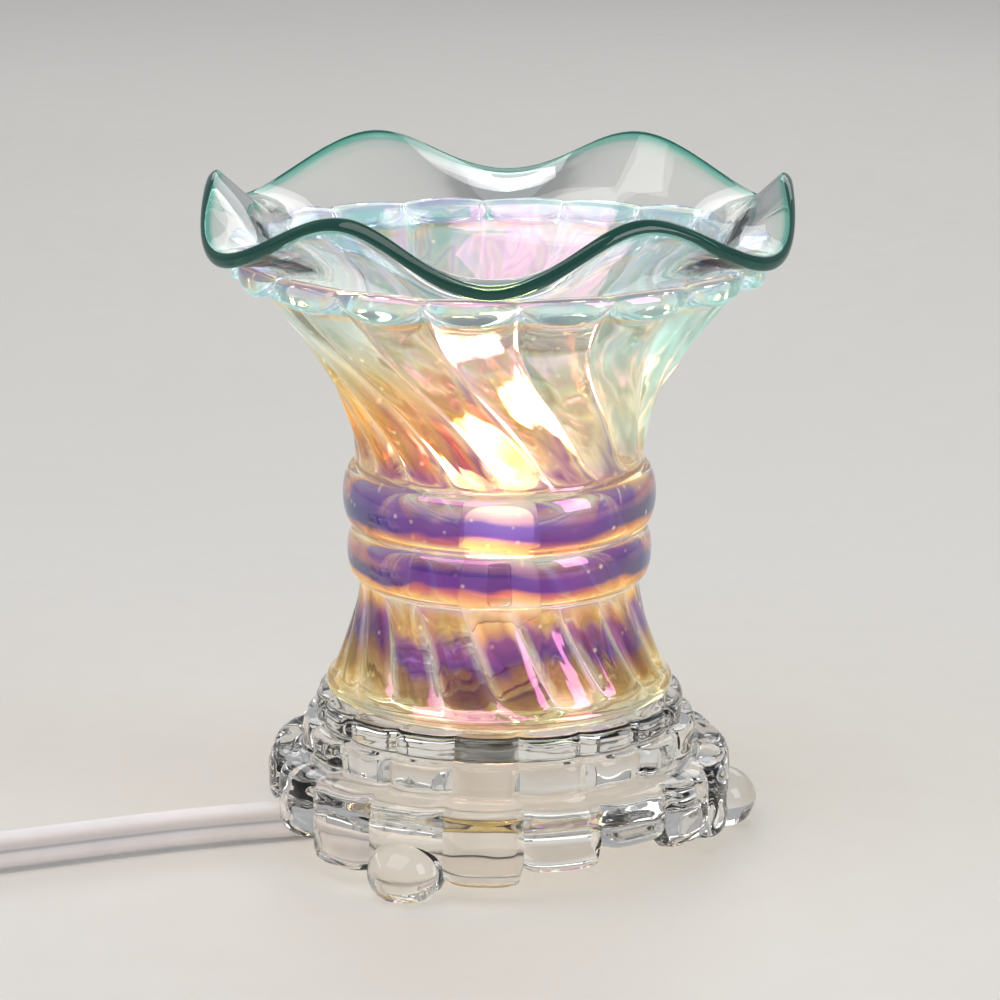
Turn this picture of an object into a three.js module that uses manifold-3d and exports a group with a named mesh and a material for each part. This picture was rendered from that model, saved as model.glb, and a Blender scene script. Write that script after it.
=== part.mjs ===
// Electric glass oil burner: a clear block base, a swirled shade, a ruffled oil dish, a push-in
// lamp inside, and a flat twin lead with a thumb-wheel dimmer and a plug.
// Millimetres, +Z up, the front towards -Y, the origin on the table under the middle of the base.
import * as THREE from 'three';
import { mergeVertices } from 'three/addons/utils/BufferGeometryUtils.js';
import Module from 'manifold-3d';

const wasm = await Module();
wasm.setup();

// Clearances
const fitGap = 0.3;
const looseGap = 0.6;
const floorGap = 0.3;
const overcut = 1;
const overlap = 0.1;

// Flat twin lead: it stands on its narrow edge
const cordHeight = 7.2;
const cordThickness = 3.7;
const cordNotch = 0.45;

// Glass base
const blockCount = 18;
const toeCount = 3;
const firstToeTurn = -24;
const baseHeight = 28.6;
const topTierRadius = 35.2;
const topTierHeight = 4.9;
const midTierRadius = 37.7;
const midTierHeight = 5.8;
const skirtRadius = 44.4;
const skirtWall = 5.6;
const deckThickness = 6;
const blockGroove = 1.2;
const tierRound = 1.3;
const skirtRound = 3.6;
const skirtLift = 0.8;
const archSharpness = 1.35;
const toeWidth = 13.8;
const toeHeight = 10.6;
const toeReach = 5.6;
const collarHeight = 2.4;
const collarWall = 1.8;

// Glass shade: heights are above its foot
const shadeHeight = 85.1;
const fluteCount = 18;
const fluteTurn = 4;
const shadeWall = 3.1;
const footRadius = 33.1;
const neckRadius = 26.4;
const neckHeight = 22.3;
const bellCurve = 1.5;
const waistRadius = 27.1;
const lowerRingHeight = 9.9;
const lowerRingBulge = 1.8;
const upperRingHeight = 11.7;
const upperRingBulge = 2.6;
const ringGroove = 0.5;
const petalThickness = 3.9;
const mouthRadius = 49.8;
const funnelCurve = 1.85;
const bellTwist = 20;
const funnelTwist = 40;
const straightRise = 0.68;
const bellFluteDepth = 0.9;
const funnelFluteDepth = 1.2;
const petalNotch = 1.7;

// Oil dish
const waveCount = 6;
const waveTurn = -1.5;
const dishWall = 2.8;
const dishOverhang = 5.7;
const ruffleOut = 2.1;
const ruffleHeight = 4.9;
const edgeLift = 7.6;
const bowlDepth = 16.4;

// Lamp holder and its fixings
const nippleRadius = 5;
const nippleBore = 3.9;
const nutFlats = 15;
const nutHeight = 3.6;
const washerRadius = 9;
const washerThickness = 1;
const rubberThickness = 1.5;
const cupFootRadius = 8.8;
const cupTopRadius = 7.9;
const cupHeight = 9;
const cupFloor = 3;
const cupWall = 1;
const holderHeight = 17;
const holderTopRadius = 7.6;
const holderRecess = 4;
const contactSpacing = 9;
const contactWidth = 3;
const contactDepth = 4;
const contactLength = 9;
const contactWall = 0.6;
const leadRadius = 1.1;
const leadSpacing = 3.4;
const screwHeadRadius = 2;
const screwHeadHeight = 1.1;
const screwShankRadius = 0.9;
const screwShankLength = 2.4;

// Push-in capsule lamp
const bulbRadius = 6.5;
const bulbWall = 0.8;
const bulbLength = 21;
const pinchWidth = 11;
const pinchThickness = 4.6;
const pinchHeight = 10.4;
const pinchCapHeight = 2;
const pinRadius = 0.5;
const pinLength = 8;
const filamentRadius = 0.5;
const filamentHeight = 9;
const filamentSpan = 5;
const supportRadius = 0.35;

// Cord elbow under the base
const cordHeading = 9;
const elbowWall = 2.2;
const elbowFloor = 2.7;
const reliefReach = 26;
const reliefWall = 0.8;
const reliefSwell = 1.8;

// Thumb-wheel dimmer
const dimmerCentre = new THREE.Vector2(-158.5, -31.5);
const dimmerLength = 56;
const dimmerWidth = 26;
const dimmerHeight = 19;
const dimmerCorner = 8;
const wheelRadius = 9.7;
const wheelThickness = 6;
const wheelHeight = 11.4;
const axleRadius = 2;
const axleReach = 3;
const dimmerScrewReach = 20;
const dimmerScrewLength = 11;

// Coil, its tie and the plug
const coilTurns = 6.5;
const coilInnerRadius = 30.5;
const coilTurnGap = 0.9;
const coilLayerGap = 0.7;
const coilDip = 1.6;
const coilLeadIn = 36;
const tieThickness = 0.8;
const tieWidth = 5;
const plugReliefLength = 18;
const plugLength = 22;
const plugWidth = 24;
const plugHeight = 15;
const bladeLength = 17;
const bladeSeat = 6;
const bladeHeight = 6.3;
const bladeThickness = 1.5;
const bladeSpacing = 12.7;

// Cord routes on the table, chosen by hand (x, y)
const nearRoute = [
  [-26.19, -4.15], [-31, -4.91], [-36, -5.8], [-43, -7.7], [-53.4, -10.5], [-64, -13.9], [-79.2, -19.8],
  [-93.6, -25.6], [-103, -28.8], [-111, -30.7], [-118, -31.4], [-124, -31.5], [-130.2, -31.5],
];
// Tail from the coil's upper layer down to the plug: ahead of the coil's end, aside, and share of the drop
const tailRoute = [
  [fitGap, 0, 0], [6.5, 0, 0], [12.5, -0.2, 0.06], [19.5, -1.1, 0.23], [27.5, -3, 0.57], [35.5, -5.8, 0.84],
  [43.5, -9.4, 0.98], [49.5, -12.4, 1], [54, -14.65, 1],
];
const plugHeading = -26.565;

// Helpers for angles and rounding
const radians = THREE.MathUtils.degToRad;
const smooth = (value) => THREE.MathUtils.smoothstep(value, 0, 1);
const blend = THREE.MathUtils.lerp;
function steps(count, from, to) {
  return Array.from({ length: count }, (_, step) => blend(from, to, step / (count - 1)));
}

// Angles are counted from the front, positive towards +X
function around(radius, turn, height) {
  const angle = radians(turn);
  return new THREE.Vector3(radius * Math.sin(angle), -radius * Math.cos(angle), height);
}

// Across one of count equal sectors: -1 and 1 at its borders, 0 in the middle
function acrossSector(turn, count, offset) {
  const share = ((turn - offset) / 360) * count;
  return 2 * (share - Math.floor(share)) - 1;
}

// Skin of rings of points, each ring a loop of equal length
function skin(rings, { ringsClose = false, capStart = false, capEnd = false } = {}) {
  const size = rings[0].length;
  const points = rings.flat();
  const faces = [];
  const last = ringsClose ? rings.length : rings.length - 1;
  for (let ring = 0; ring < last; ring += 1) {
    const next = (ring + 1) % rings.length;
    for (let side = 0; side < size; side += 1) {
      const beside = (side + 1) % size;
      const a = ring * size + side;
      const b = next * size + side;
      const c = next * size + beside;
      const d = ring * size + beside;
      faces.push(a, b, c, a, c, d);
    }
  }
  const addCap = (ring, turned) => {
    const middle = points.length;
    const centre = new THREE.Vector3();
    rings[ring].forEach((point) => centre.add(point));
    points.push(centre.divideScalar(size));
    for (let side = 0; side < size; side += 1) {
      const a = ring * size + side;
      const b = ring * size + ((side + 1) % size);
      faces.push(...(turned ? [middle, b, a] : [middle, a, b]));
    }
  };
  if (capStart) addCap(0, false);
  if (capEnd) addCap(rings.length - 1, true);
  const geometry = new THREE.BufferGeometry().setFromPoints(points);
  geometry.setIndex(faces);
  geometry.computeVertexNormals();
  return geometry;
}

// Solid of revolution whose outline of [radius, height, twist] may change with the turn
function turned(outlineAt, count, start = 0) {
  const turns = Array.from({ length: count }, (_, step) => start + (360 / count) * step);
  const rings = turns.map((turn) => outlineAt(turn).map(
    ([radius, height, twist = 0]) => around(radius, turn + twist, height),
  ));
  return skin(rings, { ringsClose: true });
}

// Plain ring or tube on the Z axis
function ringGeometry(innerRadius, outerRadius, low, high, sides = 20) {
  const corners = [[innerRadius, low], [outerRadius, low], [outerRadius, high], [innerRadius, high]];
  const profile = [...corners, corners[0]].map(([r, z]) => new THREE.Vector2(r, z));
  return new THREE.LatheGeometry(profile, sides).rotateX(Math.PI / 2);
}

function boxGeometry(width, depth, low, high, x = 0, y = 0) {
  return new THREE.BoxGeometry(width, depth, high - low).translate(x, y, (low + high) / 2);
}

function rodGeometry(radius, low, high, x = 0, y = 0, sides = 16) {
  const rod = new THREE.CylinderGeometry(radius, radius, high - low, sides);
  return rod.rotateX(Math.PI / 2).translate(x, y, (low + high) / 2);
}

// Rod or prism along Y
function crossRodGeometry(radius, length, x, y, z, sides = 16) {
  return new THREE.CylinderGeometry(radius, radius, length, sides).translate(x, y, z);
}

// Joining and cutting
function solidOf(geometry) {
  const plain = geometry.clone();
  plain.deleteAttribute('normal');
  plain.deleteAttribute('uv');
  const weldReach = 1e-5;
  const merged = mergeVertices(plain, weldReach);
  const vertProperties = new Float32Array(merged.attributes.position.array);
  const triVerts = new Uint32Array(merged.index.array);
  return new wasm.Manifold(new wasm.Mesh({ numProp: 3, vertProperties, triVerts }));
}

function geometryOf(solid) {
  const mesh = solid.getMesh();
  const geometry = new THREE.BufferGeometry();
  geometry.setAttribute('position', new THREE.BufferAttribute(new Float32Array(mesh.vertProperties), 3));
  geometry.setIndex(new THREE.BufferAttribute(new Uint32Array(mesh.triVerts), 1));
  geometry.computeVertexNormals();
  return geometry;
}

function joined(first, ...others) {
  return geometryOf(others.reduce((solid, piece) => solid.add(solidOf(piece)), solidOf(first)));
}

function cut(body, ...tools) {
  return geometryOf(tools.reduce((solid, tool) => solid.subtract(solidOf(tool)), solidOf(body)));
}

// Materials
const finish = (color, roughness, metalness = 0, opacity = 1) => new THREE.MeshStandardMaterial({
  color, roughness, metalness, opacity, transparent: opacity < 1,
});
const clearGlass = finish('#d8dcd8', 0.05, 0, 0.4);
const dishGlass = finish('#9fb8ac', 0.05, 0, 0.4);
const lustreGlass = finish('#b98fb4', 0.08, 0.2, 0.6);
const bulbGlass = finish('#fff2d8', 0.1, 0, 0.5);
const ceramic = finish('#f2efe8', 0.45);
const steel = finish('#b9bbbd', 0.3, 1);
const brass = finish('#c9a14a', 0.3, 1);
const tungsten = finish('#6f6a66', 0.4, 1);
const blackRubber = finish('#26262a', 0.8);
const clearVinyl = finish('#cfc9cf', 0.35, 0, 0.85);
const whitePlastic = finish('#e9e7e2', 0.4);
const greyPlastic = finish('#b8b6b2', 0.5);

const burner = new THREE.Group();
function add(name, geometry, material, parent = burner) {
  const mesh = new THREE.Mesh(geometry, material);
  mesh.name = name;
  parent.add(mesh);
  return mesh;
}

// Levels that the pieces share
const deckUnder = baseHeight - deckThickness;
const shadeFoot = baseHeight + fitGap;
const rimTop = shadeFoot + shadeHeight;
const cordSeat = floorGap + cordHeight / 2;
const nippleHole = nippleRadius + fitGap;
const shadeFootInner = footRadius - shadeWall;
const bellRadius = (height) => blend(neckRadius, footRadius, (1 - height / neckHeight) ** bellCurve);
const collarRadius = bellRadius(2 * collarHeight) - shadeWall - looseGap;

// Glass base: three tiers of pillow blocks over an arched skirt on three toes
const midTierTop = baseHeight - topTierHeight;
const skirtTop = midTierTop - midTierHeight;
const archRise = floorGap + cordHeight + looseGap;
const samplesPerBlock = 4;

function blockFoot(turn) {
  const block = 360 / blockCount;
  const span = 360 / toeCount;
  const fromToe = Math.abs(((((turn - firstToeTurn) % span) + span * 1.5) % span) - span / 2);
  const nearest = Math.round(fromToe / block) * block;
  return skirtLift + (archRise - skirtLift) * Math.min(nearest / (span / 2), 1) ** archSharpness;
}

function baseOutline(turn) {
  const across = acrossSector(turn, blockCount, firstToeTurn - 180 / blockCount);
  const groove = blockGroove * across ** 4;
  const quarter = 90 / blockCount;
  const low = Math.max(blockFoot(turn - quarter), blockFoot(turn + quarter), blockFoot(turn)) + groove / 2;
  const skirt = skirtRadius - groove;
  const mid = midTierRadius - groove;
  const top = topTierRadius - groove * 0.7;
  const inner = skirtRadius - skirtWall;
  const collarTop = baseHeight + collarHeight;
  const cavity = midTierRadius - skirtWall;
  const shoulder = skirtTop - skirtRound;
  return [
    [nippleHole, deckUnder], [cavity - tierRound, deckUnder], [cavity, deckUnder - tierRound], [cavity, shoulder],
    [inner, shoulder - skirtRound], [inner, low + tierRound], [inner + tierRound, low], [skirt - tierRound, low],
    [skirt, low + tierRound],
    [skirt, skirtTop - skirtRound], [skirt - skirtRound * 0.3, skirtTop - skirtRound * 0.3],
    [skirt - skirtRound, skirtTop], [mid - tierRound * 0.5, skirtTop], [mid, skirtTop + tierRound],
    [mid, midTierTop - tierRound], [mid - tierRound, midTierTop], [top - tierRound * 0.5, midTierTop],
    [top, midTierTop + tierRound], [top, baseHeight - tierRound], [top - tierRound, baseHeight],
    [collarRadius, baseHeight], [collarRadius - fitGap, collarTop], [collarRadius - collarWall, collarTop],
    [collarRadius - collarWall, baseHeight], [nippleHole, baseHeight],
  ];
}

function toeGeometry(turn) {
  const toe = new THREE.SphereGeometry(1, 14, 8);
  const reach = toeWidth / 2;
  toe.scale(toeWidth / 2, reach, toeHeight / 2 + skirtLift);
  const centre = around(skirtRadius + toeReach - reach, turn, toeHeight / 2 - skirtLift);
  return toe.rotateZ(radians(turn)).translate(centre.x, centre.y, centre.z);
}

const toeTurns = Array.from({ length: toeCount }, (_, toe) => firstToeTurn + (360 / toeCount) * toe);
const blockRing = turned(baseOutline, blockCount * samplesPerBlock, firstToeTurn - 180 / blockCount);
const underTable = boxGeometry(4 * skirtRadius, 4 * skirtRadius, -skirtRadius, 0);
const toedBase = joined(blockRing, ...toeTurns.map(toeGeometry));
add('glass_base', cut(toedBase, underTable), clearGlass);

// Glass shade: a fluted bell, two smooth rings, a fluted funnel and a rim of petals
const grooveHeight = neckHeight + lowerRingHeight;
const waistHeight = grooveHeight + upperRingHeight;
const petalHeight = shadeHeight - petalThickness;
const petalRound = petalThickness * 0.3;
const samplesPerFlute = 4;

function funnelRadius(height) {
  const rise = (height - waistHeight) / (petalHeight - waistHeight);
  return blend(waistRadius, mouthRadius - petalRound, rise ** funnelCurve);
}

// Each outer station: radius, height, flute depth and how far the flutes have turned
const bellTwistAt = (rise) => bellTwist * (1 - rise);
const funnelTwistAt = (rise) => -funnelTwist * Math.min(rise / straightRise, 1);
const bellStations = steps(4, petalRound, neckHeight * 0.96).map((height) => {
  const rise = height / neckHeight;
  const depth = bellFluteDepth * (1 - rise ** 4);
  return { radius: bellRadius(height), height, depth, twist: bellTwistAt(rise) };
});
function ringStations(low, tall, bulge) {
  return [-0.85, -0.35, 0.35, 0.85].map((share) => ({
    radius: waistRadius + bulge * Math.sqrt(1 - share ** 2),
    height: low + ((share + 1) * tall) / 2,
    depth: 0,
    twist: 0,
  }));
}
const grooveStation = { radius: waistRadius + ringGroove, height: grooveHeight, depth: 0, twist: 0 };
const funnelHeight = (rise) => blend(waistHeight, petalHeight, rise);
const funnelStations = [0.05, 0.25, 0.5, 0.72, 0.87, 0.96].map((rise) => ({
  radius: funnelRadius(funnelHeight(rise)),
  height: funnelHeight(rise),
  depth: blend(funnelFluteDepth * smooth(rise * 5), petalNotch, smooth(rise * 4 - 3)),
  twist: funnelTwistAt(rise),
}));
const petalStations = [[0, petalRound], [0, petalThickness - petalRound], [petalRound, petalThickness]].map(
  ([inset, rise]) => ({
    radius: mouthRadius - inset,
    height: petalHeight + rise,
    depth: petalNotch,
    twist: funnelTwistAt(1),
  }),
);
const footStation = { radius: footRadius - petalRound, height: 0, depth: 0, twist: bellTwistAt(0) };
const outerStations = [
  footStation, ...bellStations, ...ringStations(neckHeight, lowerRingHeight, lowerRingBulge), grooveStation,
  ...ringStations(grooveHeight, upperRingHeight, upperRingBulge), ...funnelStations, ...petalStations,
];

// The inside is smooth: the bell and funnel set in by the wall
function setIn(radiusAt, height) {
  const nudge = 0.01;
  const slope = (radiusAt(height + nudge) - radiusAt(height - nudge)) / (2 * nudge);
  const scale = shadeWall / Math.hypot(1, slope);
  return [radiusAt(height) - scale, height + scale * slope];
}
const innerLine = [
  ...[0.98, 0.9, 0.75, 0.4].map((rise) => [...setIn(funnelRadius, funnelHeight(rise)), funnelTwistAt(rise)]),
  [waistRadius - shadeWall, waistHeight, 0],
  [neckRadius - shadeWall, neckHeight, 0],
  [...setIn(bellRadius, neckHeight / 2), bellTwistAt(0.5)],
  [shadeFootInner, 0, bellTwistAt(0)],
];

function shadeOutline(turn) {
  const across = Math.abs(acrossSector(turn, fluteCount, fluteTurn));
  const outer = outerStations.map(({ radius, height, depth, twist }) => [
    radius - depth * across ** 3,
    height,
    twist,
  ]);
  return [...outer, ...innerLine].map(([radius, height, twist]) => [radius, shadeFoot + height, twist]);
}
add('glass_shade', turned(shadeOutline, fluteCount * samplesPerFlute, fluteTurn), lustreGlass);

// Oil dish: an oval bowl hung in the mouth, with a lip that flares into waves
const bowlRoom = steps(24, 0.4, 0.98).map((rise) => {
  const [radius, height] = setIn(funnelRadius, funnelHeight(rise));
  const drop = Math.min(Math.max(shadeHeight - height, 0) / bowlDepth, 0.99);
  return (radius - dishWall - looseGap) / Math.sqrt(1 - drop ** 2);
});
const bowlRadius = Math.min(...bowlRoom);
const dishSeat = rimTop + fitGap;
const dishEdge = mouthRadius + dishOverhang;
const bowlRimAngle = 80;
const lipRound = dishWall * 0.4;
const edgeRound = dishWall * 0.3;

function dishLine(turn) {
  const wave = Math.cos(radians((turn - waveTurn) * waveCount));
  const edge = new THREE.Vector2(dishEdge + ruffleOut * wave, edgeLift - ruffleHeight * wave);
  const bowl = (angle) => {
    const share = radians(angle);
    return new THREE.Vector2(bowlRadius * Math.sin(share), -bowlDepth * Math.cos(share));
  };
  const bend = new THREE.Vector2(bowlRadius + lipRound, dishWall);
  const lip = new THREE.QuadraticBezierCurve(bowl(bowlRimAngle), bend, edge);
  return [...[22, 44, 63].map(bowl), ...steps(5, 0, 1).map((share) => lip.getPoint(share))];
}

function dishOutline(turn) {
  const line = dishLine(turn);
  const pole = new THREE.Vector2(0, -bowlDepth);
  const side = (sign) => line.map((point, index) => {
    const before = index > 0 ? line[index - 1] : pole;
    const after = line[Math.min(index + 1, line.length - 1)];
    const along = after.clone().sub(before).normalize();
    const out = new THREE.Vector2(along.y, -along.x).multiplyScalar((sign * dishWall) / 2);
    return [point.x + out.x, dishSeat + point.y + out.y];
  });
  const under = side(1);
  const over = side(-1).reverse();
  const reach = line.at(-1).clone().sub(line.at(-2)).setLength(edgeRound);
  const tip = line.at(-1).clone().add(reach);
  return [...under, [tip.x, dishSeat + tip.y], ...over];
}

function dishGeometry() {
  const dishSteps = waveCount * 10;
  const rings = [];
  for (let step = 0; step < dishSteps; step += 1) {
    const turn = (360 / dishSteps) * step + waveTurn;
    rings.push(dishOutline(turn).map(([radius, height]) => around(radius, turn, height)));
  }
  const size = rings[0].length;
  const points = rings.flat();
  const bottom = points.push(new THREE.Vector3(0, 0, dishSeat - bowlDepth - dishWall / 2)) - 1;
  const floor = points.push(new THREE.Vector3(0, 0, dishSeat - bowlDepth + dishWall / 2)) - 1;
  const faces = [];
  for (let step = 0; step < dishSteps; step += 1) {
    const here = step * size;
    const next = ((step + 1) % dishSteps) * size;
    faces.push(bottom, next, here);
    faces.push(floor, here + size - 1, next + size - 1);
    for (let side = 0; side < size - 1; side += 1) {
      faces.push(here + side, next + side, next + side + 1);
      faces.push(here + side, next + side + 1, here + side + 1);
    }
  }
  const geometry = new THREE.BufferGeometry().setFromPoints(points);
  geometry.setIndex(faces);
  geometry.computeVertexNormals();
  return geometry;
}
add('oil_dish', dishGeometry(), dishGlass);

// Threaded nipple through the deck, with its washers and nuts
const hexRadius = nutFlats / Math.sqrt(3);
function nutGeometry(low) {
  const hexagon = new THREE.CylinderGeometry(hexRadius, hexRadius, nutHeight, 6);
  hexagon.rotateX(Math.PI / 2).translate(0, 0, low + nutHeight / 2);
  return cut(hexagon, rodGeometry(nippleHole, low - overcut, low + nutHeight + overcut));
}
const rubberLow = deckUnder - fitGap - rubberThickness;
const lowerWasherLow = rubberLow - fitGap - washerThickness;
const lowerNutLow = lowerWasherLow - fitGap - nutHeight;
const upperWasherLow = baseHeight + fitGap;
const upperNutLow = upperWasherLow + washerThickness + fitGap;
const cupLow = upperNutLow + nutHeight + fitGap;
const nippleLow = lowerNutLow - nutHeight;
const nippleTop = cupLow + cupFloor + fitGap;
const washerGeometry = (low, thickness) => ringGeometry(nippleHole, washerRadius, low, low + thickness);
add('rubber_washer', washerGeometry(rubberLow, rubberThickness), blackRubber);
add('lower_washer', washerGeometry(lowerWasherLow, washerThickness), steel);
add('lower_nut', nutGeometry(lowerNutLow), brass);
add('threaded_nipple', ringGeometry(nippleBore, nippleRadius, nippleLow, nippleTop), steel);
add('upper_washer', washerGeometry(upperWasherLow, washerThickness), steel);
add('upper_nut', nutGeometry(upperNutLow), brass);

// Lamp holder: a metal cup on the nipple and a ceramic block with two contact slots
const cupTop = cupLow + cupHeight;
const cupProfile = [
  [nippleHole, cupLow], [cupFootRadius, cupLow], [cupTopRadius, cupTop], [cupTopRadius - cupWall, cupTop],
  [cupFootRadius - cupWall - fitGap, cupLow + cupFloor], [nippleHole, cupLow + cupFloor],
  [nippleHole, cupLow],
].map(([radius, height]) => new THREE.Vector2(radius, height));
add('holder_cup', new THREE.LatheGeometry(cupProfile, 24).rotateX(Math.PI / 2), steel);

const holderLow = cupTop + fitGap;
const holderTop = holderLow + holderHeight;
const contactX = contactSpacing / 2;
const contactTop = holderTop - holderRecess - fitGap;
const contactLow = contactTop - contactLength;
const screwHeight = holderLow + holderHeight * 0.4;
const screwSeat = -holderTopRadius + screwHeadHeight + fitGap;
function holderGeometry() {
  const block = new THREE.CylinderGeometry(holderTopRadius, cupTopRadius, holderHeight, 24);
  block.rotateX(Math.PI / 2).translate(0, 0, holderLow + holderHeight / 2);
  const slots = [-1, 1].map((side) => boxGeometry(
    contactWidth + 2 * fitGap,
    contactDepth + 2 * fitGap,
    holderLow - overcut,
    holderTop + overcut,
    side * contactX,
  ));
  const recess = boxGeometry(
    pinchWidth + 2 * looseGap,
    pinchThickness + 2 * looseGap,
    holderTop - holderRecess,
    holderTop + overcut,
  );
  const headHole = crossRodGeometry(
    screwHeadRadius + fitGap,
    2 * (holderTopRadius + screwSeat),
    0,
    -holderTopRadius,
    screwHeight,
  );
  const shankHole = crossRodGeometry(
    screwShankRadius + fitGap,
    2 * (screwShankLength + fitGap),
    0,
    screwSeat,
    screwHeight,
    8,
  );
  return cut(block, ...slots, recess, headHole, shankHole);
}
add('holder_body', holderGeometry(), ceramic);

const screwHeadBack = screwSeat - fitGap;
const screwHead = crossRodGeometry(
  screwHeadRadius,
  screwHeadHeight,
  0,
  screwHeadBack - screwHeadHeight / 2,
  screwHeight,
);
const screwShank = crossRodGeometry(
  screwShankRadius,
  screwShankLength,
  0,
  screwHeadBack - overlap + screwShankLength / 2,
  screwHeight,
  8,
);
add('holder_screw', joined(screwHead, screwShank), steel);

// Spring contacts in the slots, and the leads down the nipple
[['contact_left', -1], ['contact_right', 1]].forEach(([name, side]) => {
  const strip = boxGeometry(contactWidth, contactDepth, contactLow, contactTop, side * contactX);
  const mouth = boxGeometry(
    contactWidth - 2 * contactWall,
    contactDepth + 2 * overcut,
    contactLow + contactWall,
    contactTop + overcut,
    side * contactX,
  );
  add(name, cut(strip, mouth), brass);
});

const leadLow = floorGap + elbowFloor + fitGap;
[['lead_left', -1], ['lead_right', 1]].forEach(([name, side]) => {
  const wide = side * contactX;
  const close = (side * leadSpacing) / 2;
  const route = [
    [wide, contactLow - fitGap], [wide, holderLow], [blend(wide, close, 0.13), holderLow - leadRadius],
    [(wide + close) / 2, (holderLow + nippleTop) / 2], [close, nippleTop],
    [close, (nippleTop + leadLow) / 2], [close, leadLow],
  ].map(([x, z]) => new THREE.Vector3(x, 0, z));
  const section = new THREE.Shape().absarc(0, 0, leadRadius, 0, 2 * Math.PI);
  const tube = new THREE.ExtrudeGeometry(section, {
    extrudePath: new THREE.CatmullRomCurve3(route),
    steps: 10,
    curveSegments: 4,
  });
  add(name, tube, clearVinyl);
});

// Capsule lamp: it pulls straight up out of the contacts
const pinchLow = holderTop - holderRecess + fitGap;
const pinchTop = pinchLow + pinchHeight;
const capRadius = bulbRadius - bulbWall - fitGap;
const pinchBlock = boxGeometry(pinchWidth, pinchThickness, pinchLow, pinchTop);
const pinchCap = rodGeometry(capRadius, pinchTop - pinchCapHeight, pinchTop + pinchCapHeight, 0, 0, 20);
const pinSeat = 1;
const pinHoles = [-1, 1].map((side) => rodGeometry(
  pinRadius + fitGap,
  pinchLow - overcut,
  pinchLow + pinSeat,
  side * contactX,
  0,
  10,
));
const supportX = filamentSpan / 2;
const supportHoles = [-1, 1].map((side) => rodGeometry(
  supportRadius + fitGap,
  pinchTop + pinchCapHeight - pinSeat,
  pinchTop + pinchCapHeight + overcut,
  side * supportX,
  0,
  8,
));
add('bulb_pinch', cut(joined(pinchBlock, pinchCap), ...pinHoles, ...supportHoles), bulbGlass);

const bulbLow = pinchTop + fitGap;
const bulbTop = bulbLow + bulbLength;
function domeLine(radius, top) {
  return steps(5, 0, 90).map((angle) => {
    const share = radians(angle);
    return new THREE.Vector2(radius * Math.cos(share), top - radius + radius * Math.sin(share));
  });
}
// Round-ended rod on the Z axis
function domedRod(radius, low, top) {
  const profile = [new THREE.Vector2(0, low), new THREE.Vector2(radius, low), ...domeLine(radius, top)];
  profile.at(-1).setX(0);
  return new THREE.LatheGeometry(profile, 20).rotateX(Math.PI / 2);
}
const bulbHollow = domedRod(bulbRadius - bulbWall, bulbLow - overcut, bulbTop - bulbWall);
add('bulb_envelope', cut(domedRod(bulbRadius, bulbLow, bulbTop), bulbHollow), bulbGlass);

[['bulb_pin_left', -1], ['bulb_pin_right', 1]].forEach(([name, side]) => {
  const pinTop = pinchLow + pinSeat - fitGap;
  add(name, rodGeometry(pinRadius, pinTop - pinLength, pinTop, side * contactX, 0, 10), steel);
});

const supportLow = pinchTop + pinchCapHeight - pinSeat + fitGap;
const filamentLow = supportLow + filamentHeight;
[['filament_support_left', -1], ['filament_support_right', 1]].forEach(([name, side]) => {
  add(name, rodGeometry(supportRadius, supportLow, filamentLow - fitGap, side * supportX, 0, 8), tungsten);
});
const filamentArc = new THREE.CatmullRomCurve3([
  new THREE.Vector3(-supportX, 0, filamentLow),
  new THREE.Vector3(-supportX * 0.9, 0, filamentLow + supportX * 0.7),
  new THREE.Vector3(0, 0, filamentLow + supportX * 1.3),
  new THREE.Vector3(supportX * 0.9, 0, filamentLow + supportX * 0.7),
  new THREE.Vector3(supportX, 0, filamentLow),
]);
const filamentSection = new THREE.Shape().absarc(0, 0, filamentRadius, 0, 2 * Math.PI);
add(
  'filament',
  new THREE.ExtrudeGeometry(filamentSection, { extrudePath: filamentArc, steps: 10, curveSegments: 4 }),
  tungsten,
);

// Cord elbow: a cap under the nipple with a tapered relief that the lead meets
const bevel = 0.55;
const oval = [
  [1, bevel], [1, -bevel], [bevel, -1], [-bevel, -1], [-1, -bevel], [-1, bevel], [-bevel, 1], [bevel, 1],
];
// Loft along local X through stations of [x, half width, low, high]
function taper(stations) {
  const rings = stations.map(([x, half, low, high]) => oval.map(([y, z]) => new THREE.Vector3(
    x,
    half * y,
    (low + high) / 2 + ((high - low) / 2) * z,
  )));
  return skin(rings, { capStart: true, capEnd: true });
}
const elbowRadius = nippleRadius + elbowWall;
const elbowTop = lowerNutLow - fitGap;
const reliefTip = [
  -reliefReach, cordThickness / 2 + reliefWall, floorGap, floorGap + cordHeight + reliefWall,
];
const reliefRoot = [
  -elbowRadius / 2, cordThickness / 2 + reliefWall + reliefSwell, floorGap,
  floorGap + cordHeight + reliefWall + reliefSwell,
];
const elbowPost = rodGeometry(elbowRadius, floorGap, elbowTop, 0, 0, 24);
const elbowBody = joined(elbowPost, taper([reliefTip, reliefRoot]));
const elbow = new THREE.Group();
elbow.rotation.z = radians(cordHeading);
burner.add(elbow);
add(
  'cord_elbow',
  cut(
    elbowBody,
    rodGeometry(nippleHole, nippleLow - fitGap, elbowTop + overcut, 0, 0, 24),
    rodGeometry(nippleBore, floorGap + elbowFloor, elbowTop, 0, 0, 20),
  ),
  whitePlastic,
  elbow,
);

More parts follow.
